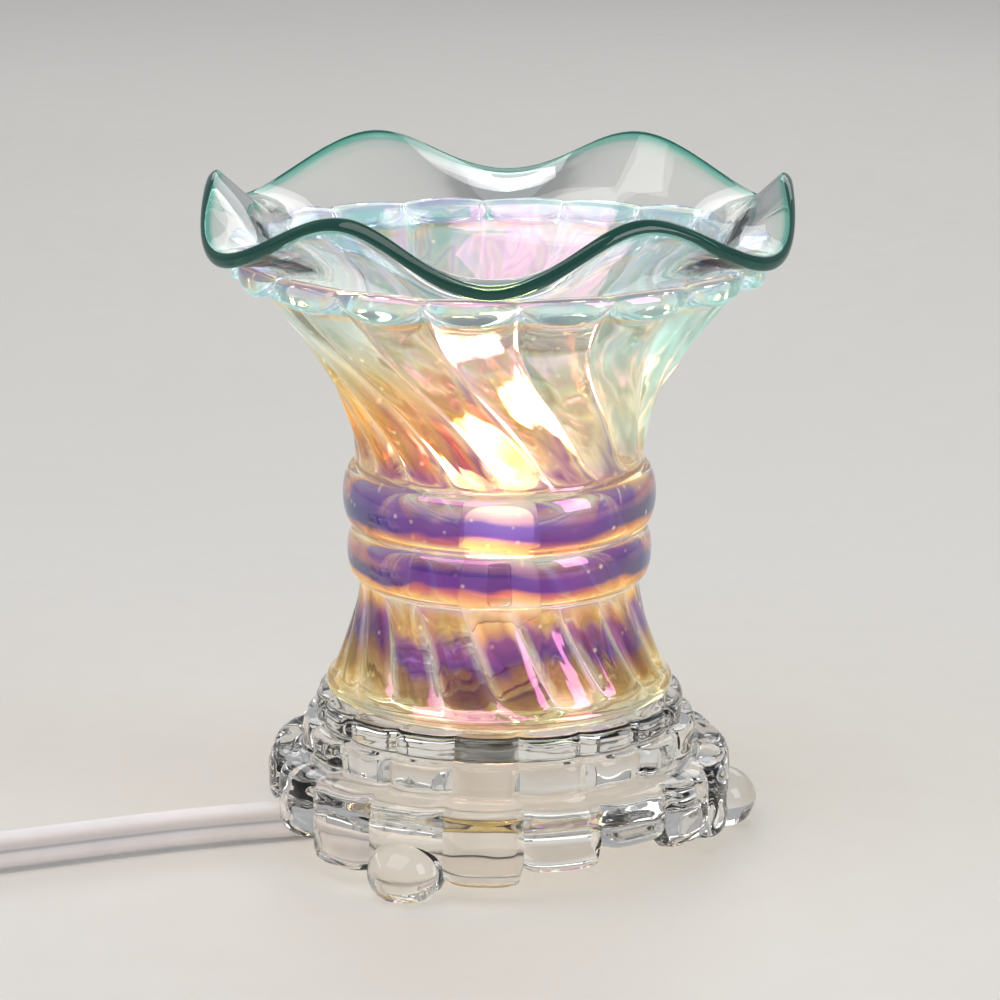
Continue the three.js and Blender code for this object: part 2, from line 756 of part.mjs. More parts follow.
// Flat twin section: x runs along its height, y across its thickness
function cordSection() {
  const lobe = cordHeight / 2 - cordThickness / 2;
  const corner = (cordThickness / 2) * Math.SQRT1_2;
  const waist = cordThickness / 2 - cordNotch;
  const half = [
    [0, waist], [lobe * 0.6, cordThickness / 2], [lobe + corner, corner], [cordHeight / 2, 0],
    [lobe + corner, -corner], [lobe * 0.6, -cordThickness / 2],
  ];
  const section = new THREE.Shape();
  [...half, ...half.map(([x, y]) => [-x, -y])].forEach(([x, y], index) => {
    if (index === 0) section.moveTo(x, y);
    else section.lineTo(x, y);
  });
  return section;
}
// A route that keeps the section standing up
class UprightRoute extends THREE.CatmullRomCurve3 {
  computeFrenetFrames(segments) {
    const up = new THREE.Vector3(0, 0, 1);
    const tangents = steps(segments + 1, 0, 1).map((share) => this.getTangentAt(share));
    const binormals = tangents.map((tangent) => up.clone().cross(tangent).normalize());
    const normals = tangents.map((tangent, index) => binormals[index].clone().cross(tangent));
    return { tangents, normals, binormals };
  }
}
function cordTube(points, stepCount) {
  const extrudePath = new UprightRoute(points);
  return new THREE.ExtrudeGeometry(cordSection(), { extrudePath, steps: stepCount });
}
add('cord_near', cordTube(nearRoute.map(([x, y]) => new THREE.Vector3(x, y, cordSeat)), 14), clearVinyl);

// Thumb-wheel dimmer on the lead
const dimmer = new THREE.Group();
dimmer.position.set(dimmerCentre.x, dimmerCentre.y, 0);
burner.add(dimmer);

function dimmerSlab(low, high) {
  const x = dimmerLength / 2;
  const y = dimmerWidth / 2;
  const outline = new THREE.Shape();
  outline.moveTo(-x + dimmerCorner, -y);
  outline.absarc(x - dimmerCorner, -y + dimmerCorner, dimmerCorner, -Math.PI / 2, 0);
  outline.absarc(x - dimmerCorner, y - dimmerCorner, dimmerCorner, 0, Math.PI / 2);
  outline.absarc(-x + dimmerCorner, y - dimmerCorner, dimmerCorner, Math.PI / 2, Math.PI);
  outline.absarc(-x + dimmerCorner, -y + dimmerCorner, dimmerCorner, Math.PI, 1.5 * Math.PI);
  const depth = high - low;
  const slab = new THREE.ExtrudeGeometry(outline, { depth, bevelEnabled: false, curveSegments: 4 });
  return slab.translate(0, 0, low);
}
const dimmerTop = floorGap + dimmerHeight;
const wheelPocket = boxGeometry(
  2 * (wheelRadius + looseGap),
  wheelThickness + 2 * looseGap,
  wheelHeight - wheelRadius - looseGap,
  dimmerTop + wheelRadius,
);
const axleSlot = boxGeometry(
  2 * (axleRadius + fitGap),
  wheelThickness + 2 * (axleReach + fitGap),
  wheelHeight - axleRadius - fitGap,
  wheelHeight + axleRadius + fitGap,
);
const headDepth = screwHeadHeight + fitGap;
const screwHoles = [-1, 1].flatMap((side) => [
  rodGeometry(screwHeadRadius + fitGap, dimmerTop - headDepth, dimmerTop + overcut, side * dimmerScrewReach),
  rodGeometry(
    screwShankRadius + fitGap,
    dimmerTop - headDepth - dimmerScrewLength - fitGap,
    dimmerTop,
    side * dimmerScrewReach,
    0,
    8,
  ),
]);
const dimmerCuts = [wheelPocket, axleSlot, ...screwHoles];
const splitHalf = fitGap / 2;
const lowerSlab = dimmerSlab(floorGap, wheelHeight - splitHalf);
const upperSlab = dimmerSlab(wheelHeight + splitHalf, dimmerTop);
add('dimmer_lower_shell', cut(lowerSlab, ...dimmerCuts), greyPlastic, dimmer);
add('dimmer_upper_shell', cut(upperSlab, ...dimmerCuts), whitePlastic, dimmer);

const wheelDisc = crossRodGeometry(wheelRadius, wheelThickness, 0, 0, wheelHeight, 24);
const wheelAxle = crossRodGeometry(axleRadius, wheelThickness + 2 * axleReach, 0, 0, wheelHeight, 12);
add('dimmer_wheel', joined(wheelDisc, wheelAxle), whitePlastic, dimmer);

[['dimmer_screw_near', 1], ['dimmer_screw_far', -1]].forEach(([name, side]) => {
  const x = side * dimmerScrewReach;
  const headLow = dimmerTop - screwHeadHeight;
  const head = rodGeometry(screwHeadRadius, headLow, dimmerTop, x);
  const shank = rodGeometry(screwShankRadius, headLow - dimmerScrewLength, headLow + fitGap, x, 0, 8);
  add(name, joined(head, shank), steel, dimmer);
});

// Coil of the rest of the lead: in on the table, up one layer, and out again
const coilPitch = cordThickness + coilTurnGap;
const coilLayer = cordHeight + coilLayerGap;
const coilSeat = tieThickness + 2 * fitGap - floorGap + cordHeight / 2;
const coilRadiusAt = (turnNumber) => {
  const fromMiddle = turnNumber - coilTurns / 2;
  const dip = Math.abs(fromMiddle) < 0.5 ? coilDip * Math.cos(Math.PI * fromMiddle) ** 2 : 0;
  return coilInnerRadius + coilPitch * Math.hypot(fromMiddle, 0.1) - dip;
};
const coilCentre = new THREE.Vector2(
  dimmerCentre.x - dimmerLength / 2 - fitGap - coilLeadIn,
  dimmerCentre.y + coilRadiusAt(0),
);
function coilPoint(turnNumber) {
  const climb = smooth((turnNumber - coilTurns / 2 + 0.25) / 0.5);
  const point = around(coilRadiusAt(turnNumber), -360 * turnNumber, coilSeat + coilLayer * climb);
  return point.add(new THREE.Vector3(coilCentre.x, coilCentre.y, 0));
}
const coilSteps = Math.round(coilTurns * 24);
const coilTurnPoints = steps(coilSteps + 1, 0, coilTurns).map(coilPoint);
const leadInReaches = steps(4, coilLeadIn, coilLeadIn / 4);
const coilLine = [
  ...leadInReaches.map((reach) => coilTurnPoints[0].clone().setX(coilCentre.x + reach)),
  ...coilTurnPoints,
  coilTurnPoints.at(-1).clone().setX(coilCentre.x + cordHeight),
];
const coilSide = [[0, 1], [1, bevel], [1, -bevel], [0, -1], [-1, -bevel], [-1, bevel]];
const coilRings = coilLine.map((point, index) => {
  const before = coilLine[Math.max(index - 1, 0)];
  const after = coilLine[Math.min(index + 1, coilLine.length - 1)];
  const along = after.clone().sub(before).setZ(0).normalize();
  const out = new THREE.Vector3(-along.y, along.x, 0).multiplyScalar(cordThickness / 2);
  return coilSide.map(([across, up]) => point.clone()
    .addScaledVector(out, across)
    .add(new THREE.Vector3(0, 0, (up * cordHeight) / 2)));
});
add('cord_coil', skin(coilRings, { capStart: true, capEnd: true }), clearVinyl);

// Least gap of the coil to itself, on points spread over its section
const fineSection = coilSide.flatMap((corner, side) => {
  const next = coilSide[(side + 1) % coilSide.length];
  return steps(5, 0, 0.8).map((share) => corner.map((value, axis) => blend(value, next[axis], share)));
});
const coilPoints = coilRings.map((ring) => fineSection.map(([across, up]) => {
  const middle = ring[0].clone().add(ring[3]).divideScalar(2);
  const out = ring[1].clone().add(ring[2]).divideScalar(2).sub(middle);
  const rise = ring[0].clone().sub(middle);
  return middle.addScaledVector(out, across).addScaledVector(rise, up);
}));
let coilLeastGap = Infinity;
coilPoints.forEach((ring, index) => {
  coilPoints.slice(index + 12).forEach((other) => {
    if (ring[0].distanceTo(other[0]) > 4 * cordHeight) return;
    ring.forEach((a) => other.forEach((b) => {
      coilLeastGap = Math.min(coilLeastGap, a.distanceTo(b));
    }));
  });
});
console.log(`cord_coil: least gap to itself ${coilLeastGap.toFixed(2)} mm`);

// Tie round the coil on the side nearest the base
const tieFirstTurn = 0.75;
const tieTurns = steps(Math.floor(coilTurns), tieFirstTurn, tieFirstTurn + Math.floor(coilTurns) - 1);
const tieRadii = tieTurns.map(coilRadiusAt);
const tieInner = Math.min(...tieRadii) - cordThickness / 2 - looseGap;
const tieOuter = Math.max(...tieRadii) + cordThickness / 2 + looseGap;
const tieLow = coilSeat - cordHeight / 2 - fitGap;
const tieHigh = coilSeat + coilLayer + cordHeight / 2 + fitGap;
const tieMiddle = coilCentre.x + (tieInner + tieOuter) / 2;
const tieBand = boxGeometry(
  tieOuter - tieInner + 2 * tieThickness,
  tieWidth,
  tieLow - tieThickness,
  tieHigh + tieThickness,
  tieMiddle,
  coilCentre.y,
);
const tieHole = boxGeometry(
  tieOuter - tieInner,
  tieWidth + 2 * overcut,
  tieLow,
  tieHigh,
  tieMiddle,
  coilCentre.y,
);
add('coil_tie', cut(tieBand, tieHole), blackRubber);

// Tail and plug
const coilEnd = coilLine.at(-1);
const tailLine = tailRoute.map(([ahead, aside, drop]) => new THREE.Vector3(
  coilEnd.x + ahead,
  coilEnd.y + aside,
  blend(coilEnd.z, cordSeat, drop),
));
add('cord_tail', cordTube(tailLine, 12), clearVinyl);

const plug = new THREE.Group();
plug.position.set(tailLine.at(-1).x, tailLine.at(-1).y, 0);
plug.rotation.z = radians(plugHeading);
burner.add(plug);
const plugTop = floorGap + plugHeight;
const plugStart = fitGap;
const plugBack = plugStart + plugReliefLength;
const plugFace = plugBack + plugLength;
const bladeMiddle = floorGap + plugHeight / 2;
const reliefTop = floorGap + cordHeight + reliefWall;
const plugForm = taper([
  [plugStart, cordThickness / 2 + reliefWall, floorGap, reliefTop],
  [plugBack - fitGap, cordThickness / 2 + reliefWall + reliefSwell, floorGap, reliefTop + reliefSwell],
  [plugBack + fitGap, plugWidth / 2 - reliefSwell, floorGap, plugTop - reliefSwell / 2],
  [plugBack + plugLength / 4, plugWidth / 2, floorGap, plugTop],
  [plugFace, plugWidth / 2, floorGap, plugTop],
]);
const bladeSides = [['plug_blade_left', -1], ['plug_blade_right', 1]];
const bladeSlots = bladeSides.map(([, side]) => new THREE.BoxGeometry(
  2 * (bladeSeat + fitGap),
  bladeThickness + 2 * fitGap,
  bladeHeight + 2 * fitGap,
).translate(plugFace, (side * bladeSpacing) / 2, bladeMiddle));
add('plug_body', cut(plugForm, ...bladeSlots), whitePlastic, plug);
bladeSides.forEach(([name, side]) => {
  const blade = new THREE.BoxGeometry(bladeLength + bladeSeat, bladeThickness, bladeHeight);
  blade.translate(plugFace + (bladeLength - bladeSeat) / 2, (side * bladeSpacing) / 2, bladeMiddle);
  add(name, blade, brass, plug);
});

export default burner;
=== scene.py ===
# %% [markdown]
# # A glass oil burner, piece by piece
# The burner stands on a table: a clear block base, a lustre shade, a ruffled dish, a lamp inside and a flat lead.
# The solid model is loaded first and is never moved. Finer pieces are then made over it, each in the same place.

# %% Load the solid model
import contextlib
import math

import bmesh
import bpy
import numpy as np
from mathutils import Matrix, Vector


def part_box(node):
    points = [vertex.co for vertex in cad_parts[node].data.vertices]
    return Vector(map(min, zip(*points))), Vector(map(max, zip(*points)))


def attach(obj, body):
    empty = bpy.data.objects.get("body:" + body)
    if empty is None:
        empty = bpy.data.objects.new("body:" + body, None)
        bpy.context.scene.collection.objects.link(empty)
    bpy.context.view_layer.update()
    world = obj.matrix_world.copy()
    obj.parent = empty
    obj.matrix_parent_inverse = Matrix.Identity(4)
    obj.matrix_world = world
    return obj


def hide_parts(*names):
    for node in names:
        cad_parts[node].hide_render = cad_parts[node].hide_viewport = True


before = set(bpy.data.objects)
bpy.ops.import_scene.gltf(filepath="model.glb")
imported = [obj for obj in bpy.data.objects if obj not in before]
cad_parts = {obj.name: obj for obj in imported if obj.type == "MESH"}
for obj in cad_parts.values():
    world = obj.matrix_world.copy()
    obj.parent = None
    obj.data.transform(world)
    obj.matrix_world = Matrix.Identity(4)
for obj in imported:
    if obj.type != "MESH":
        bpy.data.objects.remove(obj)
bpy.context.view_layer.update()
MM = 0.001

# %% [markdown]
# The camera comes next, so that every piece can be judged in the picture. A short lens close by would also frame the
# burner, but the photograph shows hardly any perspective, so the camera stands back with a long lens and looks down
# a little.

# %% Camera
CAMERA_DISTANCE = 0.820
CAMERA_RISE = math.radians(14.586)
CAMERA_TARGET = Vector((0.00012, 0.0, 0.06502))
CAMERA_LENS = 155.78
CAMERA_SENSOR = 36.0


def fresh(name, add, **sizes):
    """Adds something with nothing else selected, and names it."""
    bpy.ops.object.select_all(action="DESELECT")
    add(**sizes)
    thing = bpy.context.object
    thing.name = thing.data.name = name
    return thing


def aim(thing, direction):
    thing.rotation_mode = "QUATERNION"
    thing.rotation_quaternion = direction.to_track_quat("-Z", "Y")


back = Vector((0.0, -math.cos(CAMERA_RISE), math.sin(CAMERA_RISE)))
camera = fresh("photo_camera", bpy.ops.object.camera_add, location=CAMERA_TARGET + back * CAMERA_DISTANCE)
aim(camera, -back)
camera.data.sensor_width = CAMERA_SENSOR
camera.data.lens = CAMERA_LENS
camera.data.clip_start, camera.data.clip_end = 0.01, 20.0
bpy.context.scene.camera = camera
print("camera at", [round(v, 3) for v in camera.location])

# %% [markdown]
# Turned and swept pieces all start as a flat grid. Each row and column of the grid is laid on the real surface, the
# seams are welded, and the open ends are filled. A spin or a bevelled curve could make some of them, but a grid can
# also lean, ruffle and keep marks on its points, so one helper serves glass and cord alike.


# %% Sheet helper
def select_only(piece):
    bpy.ops.object.select_all(action="DESELECT")
    piece.select_set(True)
    bpy.context.view_layer.objects.active = piece


@contextlib.contextmanager
def editing(piece):
    """Edit mode with all of one piece selected."""
    select_only(piece)
    bpy.ops.object.mode_set(mode="EDIT")
    bpy.ops.mesh.select_all(action="SELECT")
    yield
    bpy.ops.object.mode_set(mode="OBJECT")


def smooth_below(degrees):
    bpy.ops.object.shade_smooth_by_angle(angle=math.radians(degrees))


def weld_and_close(piece, weld=1e-6):
    with editing(piece):
        bpy.ops.mesh.remove_doubles(threshold=weld)
        bpy.ops.mesh.select_all(action="DESELECT")
        bpy.ops.mesh.select_non_manifold()
        bpy.ops.mesh.fill_holes(sides=0)
        bpy.ops.mesh.select_all(action="SELECT")
        bpy.ops.mesh.normals_make_consistent(inside=False)
    bpy.ops.object.shade_smooth()


def laid_sheet(name, columns, rows, place, marks=None):
    """A grid whose points are laid by place(column, row) in millimetres; marks gives values kept on the points."""
    piece = fresh(name, bpy.ops.mesh.primitive_grid_add, x_subdivisions=columns, y_subdivisions=rows, size=1.0)
    flat = np.empty(len(piece.data.vertices) * 3, np.float32)
    piece.data.vertices.foreach_get("co", flat)
    share = flat.reshape(-1, 3) + 0.5
    column = np.rint(share[:, 0] * columns).astype(int)
    row = np.rint(share[:, 1] * rows).astype(int)
    points = place(column, row) * MM
    piece.data.vertices.foreach_set("co", points.astype(np.float32).ravel())
    for mark, value_at in (marks or {}).items():
        values = value_at(column, row).astype(np.float32)
        kind, field = ("FLOAT_VECTOR", "vector") if values.ndim == 2 else ("FLOAT", "value")
        kept = piece.data.attributes.new(mark, kind, "POINT")
        kept.data.foreach_set(field, values.ravel())
    piece.data.update()
    weld_and_close(piece)
    print(name, len(piece.data.vertices), "points")
    return piece


def turn_point(radius, turn, height):
    """Points by radius, turn in degrees from the front towards the right, and height."""
    angle = np.radians(turn)
    return np.stack([radius * np.sin(angle), -radius * np.cos(angle), height + 0.0 * angle], axis=-1)


def smooth_step(value):
    value = np.clip(value, 0.0, 1.0)
    return value * value * (3.0 - 2.0 * value)


# %% [markdown]
# The lead is a flat twin cord that lies on its narrow edge. The first stretch runs from under the base to a hand
# dimmer, and the second from the dimmer through a tied coil to the plug. The routes could be drawn as curves, but
# they have to lie where the solid model has them, so they repeat its points, in metres.

# %% Cord routes
CORD_WIDTH = 7.2
CORD_THICK = 3.7
CORD_GROOVE = 0.62
CORD_SEAT = 3.9

NEAR_ROUTE = [
    (-0.02619, -0.00415), (-0.031, -0.00491), (-0.036, -0.0058), (-0.043, -0.0077), (-0.0534, -0.0105),
    (-0.064, -0.0139), (-0.0792, -0.0198), (-0.0936, -0.0256), (-0.103, -0.0288), (-0.111, -0.0307),
    (-0.118, -0.0314), (-0.124, -0.0315), (-0.1302, -0.0315),
]
COIL_TURNS = 6.5
COIL_STEPS = 312
COIL_INNER = 0.0305
COIL_PITCH = 0.0046
COIL_DIP = 0.0016
COIL_SEAT = 0.0047
COIL_LAYER = 0.0079
COIL_LEAD_IN = 0.036
COIL_CENTRE_X = -0.2228
DIMMER_Y = -0.0315
TAIL_ROUTE = [
    (0.0003, 0.0, 0.0), (0.0065, 0.0, 0.0), (0.0125, -0.0002, 0.06), (0.0195, -0.0011, 0.23),
    (0.0275, -0.003, 0.57), (0.0355, -0.0058, 0.84), (0.0435, -0.0094, 0.98), (0.0495, -0.0124, 1.0),
    (0.054, -0.01465, 1.0),
]


def coil_radius(turn):
    middle = turn - COIL_TURNS / 2
    dip = COIL_DIP * math.cos(math.pi * middle) ** 2 if abs(middle) < 0.5 else 0.0
    return COIL_INNER + COIL_PITCH * math.hypot(middle, 0.1) - dip


def coil_point(turn):
    climb = float(smooth_step((turn - COIL_TURNS / 2 + 0.25) / 0.5))
    angle = math.radians(-360.0 * turn)
    radius = coil_radius(turn)
    centre_y = DIMMER_Y + coil_radius(0.0)
    return (
        COIL_CENTRE_X + radius * math.sin(angle),
        centre_y - radius * math.cos(angle),
        COIL_SEAT + COIL_LAYER * climb,
    )


def through(points, between):
    """A smooth line through points, with that many steps between each pair."""
    points = np.array(points, float)
    padded = np.vstack([2 * points[0] - points[1], points, 2 * points[-1] - points[-2]])
    line = []
    for i in range(len(points) - 1):
        p0, p1, p2, p3 = padded[i:i + 4]
        for t in np.linspace(0, 1, between, endpoint=False):
            line.append(0.5 * (
                2 * p1 + (p2 - p0) * t + (2 * p0 - 5 * p1 + 4 * p2 - p3) * t ** 2
                + (3 * p1 - p0 - 3 * p2 + p3) * t ** 3
            ))
    line.append(points[-1])
    return np.array(line)


near_line = through([(x, y, CORD_SEAT * MM) for x, y in NEAR_ROUTE], 5)
coil_turns = [coil_point(COIL_TURNS * i / COIL_STEPS) for i in range(COIL_STEPS + 1)]
lead_in = [(COIL_CENTRE_X + reach, coil_turns[0][1], COIL_SEAT) for reach in np.linspace(COIL_LEAD_IN, 0.006, 8)]
coil_end = (COIL_CENTRE_X + CORD_WIDTH * MM, coil_turns[-1][1], coil_turns[-1][2])
tail_points = [
    (coil_end[0] + ahead, coil_end[1] + aside, coil_end[2] + (CORD_SEAT * MM - coil_end[2]) * drop)
    for ahead, aside, drop in TAIL_ROUTE
]
far_line = np.vstack([lead_in, coil_turns, [coil_end], through(tail_points, 4)])
for line in (near_line, far_line):
    print("cord length", round(float(np.linalg.norm(np.diff(line, axis=0), axis=1).sum()), 4))

# %% [markdown]
# The cord has two insulated cores side by side with a groove between them. A round bevel on a curve would lose the
# groove, so its section is drawn once and carried along each route as a tube. The place across the cores is kept on
# the points, because copper shows faintly through them, and the groove between them gets painted shade.


# %% Cord tubes
def twin_section(count=28):
    """Outline of the flat twin: height up the section and offset across it."""
    core = CORD_WIDTH / 4
    waist = 1 - 2 * CORD_GROOVE / CORD_THICK
    outline = []
    for angle in np.linspace(0, 2 * math.pi, count, endpoint=False):
        height = CORD_WIDTH / 2 * math.cos(angle)
        from_core = (abs(height) - core) / core
        bulge = math.sqrt(max(1 - from_core ** 2, 0.0))
        half = CORD_THICK / 2 * (max(bulge, waist) if abs(height) < core else bulge)
        outline.append((height, math.copysign(half, math.sin(angle)) if abs(math.sin(angle)) > 1e-9 else 0.0))
    return np.array(outline)


def cord_tube(name, line):
    section = twin_section()
    tangent = np.gradient(line, axis=0)
    tangent /= np.linalg.norm(tangent, axis=1)[:, None]
    side = np.cross(np.array([0.0, 0.0, 1.0]), tangent)
    side /= np.linalg.norm(side, axis=1)[:, None]
    up = np.cross(tangent, side)
    columns, rows = len(section), len(line) - 1

    def place(column, row):
        shape = section[column % columns]
        return line[row] / MM + up[row] * shape[:, :1] + side[row] * shape[:, 1:]

    return laid_sheet(name, columns, rows, place, {
        "core": lambda column, row: section[column % columns][:, 0] / (CORD_WIDTH / 2),
    })


near_cord = cord_tube("near_cord", near_line)
far_cord = cord_tube("far_cord", far_line)

# %% [markdown]
# The shade is pressed glass: a fluted bell, two smooth rings, a fluted funnel and a rim of fat petals. Its curves
# come first, as plain functions of the height. The flutes lean as they rise and straighten towards the petals.

# %% Curves of the shade
FLUTES = 18
FLUTE_TURN = 4.0
SHADE_FOOT = 28.9
SHADE_HEIGHT = 85.1
SHADE_WALL = 3.1
FOOT_RADIUS = 33.1
FOOT_ROUND = 1.5
NECK_RADIUS = 26.4
NECK_HEIGHT = 22.3
BELL_CURVE = 1.5
BELL_FLUTE = 1.1
WAIST_RADIUS = 27.1
LOWER_RING = (9.9, 1.8)
UPPER_RING = (11.7, 2.6)
GROOVE_HEIGHT = NECK_HEIGHT + LOWER_RING[0]
WAIST_HEIGHT = GROOVE_HEIGHT + UPPER_RING[0]
MOUTH_RADIUS = 49.8
PETAL_THICK = 3.9
PETAL_LOW = SHADE_HEIGHT - PETAL_THICK
FUNNEL_CURVE = 1.85
FUNNEL_FLUTE = 1.5
FUNNEL_TOP_RADIUS = MOUTH_RADIUS - 0.3 * PETAL_THICK
BELL_TWIST = 20.0
FUNNEL_TWIST = 40.0
LEAN_EASE = 0.45


def bell_radius(height):
    return NECK_RADIUS + (FOOT_RADIUS - NECK_RADIUS) * (1 - height / NECK_HEIGHT) ** BELL_CURVE


def funnel_radius(height):
    rise = (height - WAIST_HEIGHT) / (PETAL_LOW - WAIST_HEIGHT)
    return WAIST_RADIUS + (FUNNEL_TOP_RADIUS - WAIST_RADIUS) * max(rise, 0.0) ** FUNNEL_CURVE


def set_in(radius_at, height, wall):
    """The point of the inner face that is one wall away from the outer face at a height."""
    nudge = 0.01
    slope = (radius_at(height + nudge) - radius_at(height - nudge)) / (2 * nudge)
    scale = wall / math.hypot(1.0, slope)
    return radius_at(height) - scale, height + scale * slope


def funnel_lean(rise):
    """Lean of the flutes in degrees: steady at first, then easing out towards the petals."""
    eased = min(max(rise - LEAN_EASE, 0.0), LEAN_EASE)
    pace = FUNNEL_TWIST / (1.5 * LEAN_EASE)
    return -pace * (min(rise, LEAN_EASE) + eased - eased ** 2 / (2 * LEAN_EASE))


print("radii at foot, neck and mouth", FOOT_RADIUS, NECK_RADIUS, round(funnel_radius(PETAL_LOW), 2))

# %% [markdown]
# The wall is a table of rows: up the outside, over the petals and down a true inside face, because light bends at
# both faces of glass. Each row gives radius, height, flute depth, lean, sink at the borders and roundness of the lobe.
# Extruding and scaling by hand could do it too, but a table is easier to set against the photograph.

# %% Rows of the shade
PETAL_TIP = 50.5
PETAL_NOTCH = 1.0
PETAL_EDGE = [
    (2.4, 79.9, -3.7), (1.5, 79.8, -3.8), (0.8, 80.0, -3.7), (0.3, 80.6, -3.2), (0.08, 81.4, -2.5),
    (0.0, 82.3, -1.7), (0.05, 83.2, -0.9), (0.2, 83.9, -0.35), (0.45, 84.45, 0.05), (0.8, 84.85, 0.3),
    (1.3, 85.05, 0.45), (2.0, 85.1, 0.55), (2.9, 84.98, 0.55),
]
PETAL_INSIDE = [(3.6, 0.3, 0.8, 0.5), (4.4, 0.65, 0.6, 0.4), (5.0, 1.3, 0.4, 0.2)]
FUNNEL_END = 0.94


def outer_rows():
    rows = []
    for angle in np.radians(np.linspace(-90, 50, 8)):
        radius = FOOT_RADIUS - FOOT_ROUND + FOOT_ROUND * math.cos(angle)
        rows.append((radius, FOOT_ROUND + FOOT_ROUND * math.sin(angle), 0, BELL_TWIST, 0, 0))
    for height in np.linspace(3.4, NECK_HEIGHT - 0.3, 26):
        rise = height / NECK_HEIGHT
        depth = BELL_FLUTE * smooth_step((height - 2.6) / 3.0) * (1 - rise ** 5)
        rows.append((bell_radius(height), height, depth, BELL_TWIST * (1 - rise), 0, 0))
    for low, (tall, bulge) in ((NECK_HEIGHT, LOWER_RING), (GROOVE_HEIGHT, UPPER_RING)):
        for angle in np.radians(np.linspace(8, 172, 18)):
            height = low + tall * (1 - math.cos(angle)) / 2
            rows.append((WAIST_RADIUS + bulge * math.sin(angle) ** 0.9, height, 0, 0, 0, 0))
    for rise in np.linspace(0.015, FUNNEL_END, 40):
        height = WAIST_HEIGHT + (PETAL_LOW - WAIST_HEIGHT) * rise
        petal = float(smooth_step(rise * 4 - 3))
        depth = FUNNEL_FLUTE * smooth_step(rise * 7) * (1 - petal) + PETAL_NOTCH * petal
        undercut = 0.3 * float(smooth_step((rise - 0.84) / 0.1))
        rows.append((funnel_radius(height) - undercut, height, depth, funnel_lean(rise), -1.9 * petal, petal))
    for back, height, sink in PETAL_EDGE:
        rows.append((PETAL_TIP - back, height, PETAL_NOTCH, -FUNNEL_TWIST, sink, 1))
    return rows


def inner_rows():
    rows = [
        (PETAL_TIP - back, SHADE_HEIGHT - drop, depth, -FUNNEL_TWIST, sink, 1)
        for back, drop, depth, sink in PETAL_INSIDE
    ]
    for rise in np.linspace(0.96, 0.03, 34):
        radius, height = set_in(funnel_radius, WAIST_HEIGHT + (PETAL_LOW - WAIST_HEIGHT) * rise, SHADE_WALL)
        rows.append((radius, height, 0.3 * smooth_step(rise * 5 - 4), funnel_lean(rise), 0, 0))
    for height in np.linspace(WAIST_HEIGHT, NECK_HEIGHT, 10):
        share = (height - NECK_HEIGHT) / (WAIST_HEIGHT - NECK_HEIGHT)
        rows.append((NECK_RADIUS + (WAIST_RADIUS - NECK_RADIUS) * share - SHADE_WALL, height, 0, 0, 0, 0))
    for height in np.linspace(NECK_HEIGHT - 1.5, 1.2, 14):
        radius, inner_height = set_in(bell_radius, height, SHADE_WALL)
        rows.append((radius, max(inner_height, 0.3), 0, BELL_TWIST * (1 - height / NECK_HEIGHT), 0, 0))
    rows.append((FOOT_RADIUS - SHADE_WALL, 0.0, 0, BELL_TWIST, 0, 0))
    return rows


OUTER_ROWS = outer_rows()
SHADE_ROWS = np.array(OUTER_ROWS + inner_rows() + OUTER_ROWS[:1], float)
print("rows of the shade", len(SHADE_ROWS))

# %% [markdown]
# The sheet bends each row into flutes or petals. The lustre needs to know more than a place in space, so values are
# kept on the points: how near a groove is, where the flutes are, a small shift for each flute, which face is the
# inside, and coordinates that run along the flutes.

# %% Shade
PER_FLUTE = 20
SHADE_COLUMNS = FLUTES * PER_FLUTE
FLUTE_DRIFT = np.random.default_rng(11).uniform(-1.0, 1.0, FLUTES)


def across_flute(column):
    return np.abs(2.0 * ((column % PER_FLUTE) / PER_FLUTE) - 1.0)


def place_shade(column, row):
    radius, height, depth, lean, sink, lobe = SHADE_ROWS[row].T
    across = across_flute(column)
    flute = across ** 2.6
    petal = 1.0 - np.sqrt(1.0 - (0.99 * across) ** 2)
    dip = flute + (petal - flute) * lobe
    turn = FLUTE_TURN + 360.0 * column / SHADE_COLUMNS + lean
    return turn_point(radius - depth * dip, turn, SHADE_FOOT + height - sink * dip)


def flow_along_flutes(column, row):
    turn = 2 * math.pi * column / SHADE_COLUMNS
    span = 3.0 * FLUTES / (2 * math.pi)
    return np.stack([span * np.cos(turn), span * np.sin(turn), 0.14 * SHADE_ROWS[row, 1]], axis=-1)


def fluted_share(row):
    """1 on the flutes, 0 on the smooth rings, and little on the petals."""
    return np.clip(SHADE_ROWS[row, 2] / 0.6, 0.0, 1.0) * (1.0 - 0.85 * SHADE_ROWS[row, 5])


laid_sheet("lustre_shade", SHADE_COLUMNS, len(SHADE_ROWS) - 1, place_shade, {
    "flute": lambda column, row: across_flute(column) * (SHADE_ROWS[row, 2] > 0.05),
    "fluted": lambda column, row: fluted_share(row),
    "drift": lambda column, row: FLUTE_DRIFT[column // PER_FLUTE % FLUTES] * fluted_share(row),
    "inside": lambda column, row: ((row >= len(OUTER_ROWS) + 2) & (row < len(SHADE_ROWS) - 1)).astype(float),
    "flow": flow_along_flutes,
})

# %% [markdown]
# The dish hangs in the mouth of the shade. It is an oval bowl whose lip flares out and ruffles into six waves. Cloth
# could be draped for the ruffle, but glass sags in an even wave, so the lip is one curve that a cosine lifts and
# drops. The wall is even, and the edge is fire-polished round.

# %% Line of the dish
WAVES = 6
WAVE_TURN = -1.5
DISH_WALL = 2.8
DISH_EDGE = MOUTH_RADIUS + 5.7
RUFFLE_OUT = 2.1
RUFFLE_HEIGHT = 4.9
EDGE_LIFT = 7.6
BOWL_RADIUS = 41.58
BOWL_DEPTH = 16.4
BOWL_END = 80
DISH_SEAT = SHADE_FOOT + SHADE_HEIGHT + 0.3
BOWL_STEPS = 30
LIP_STEPS = 34
TIP_STEPS = 9
TIP_REACH = 0.27


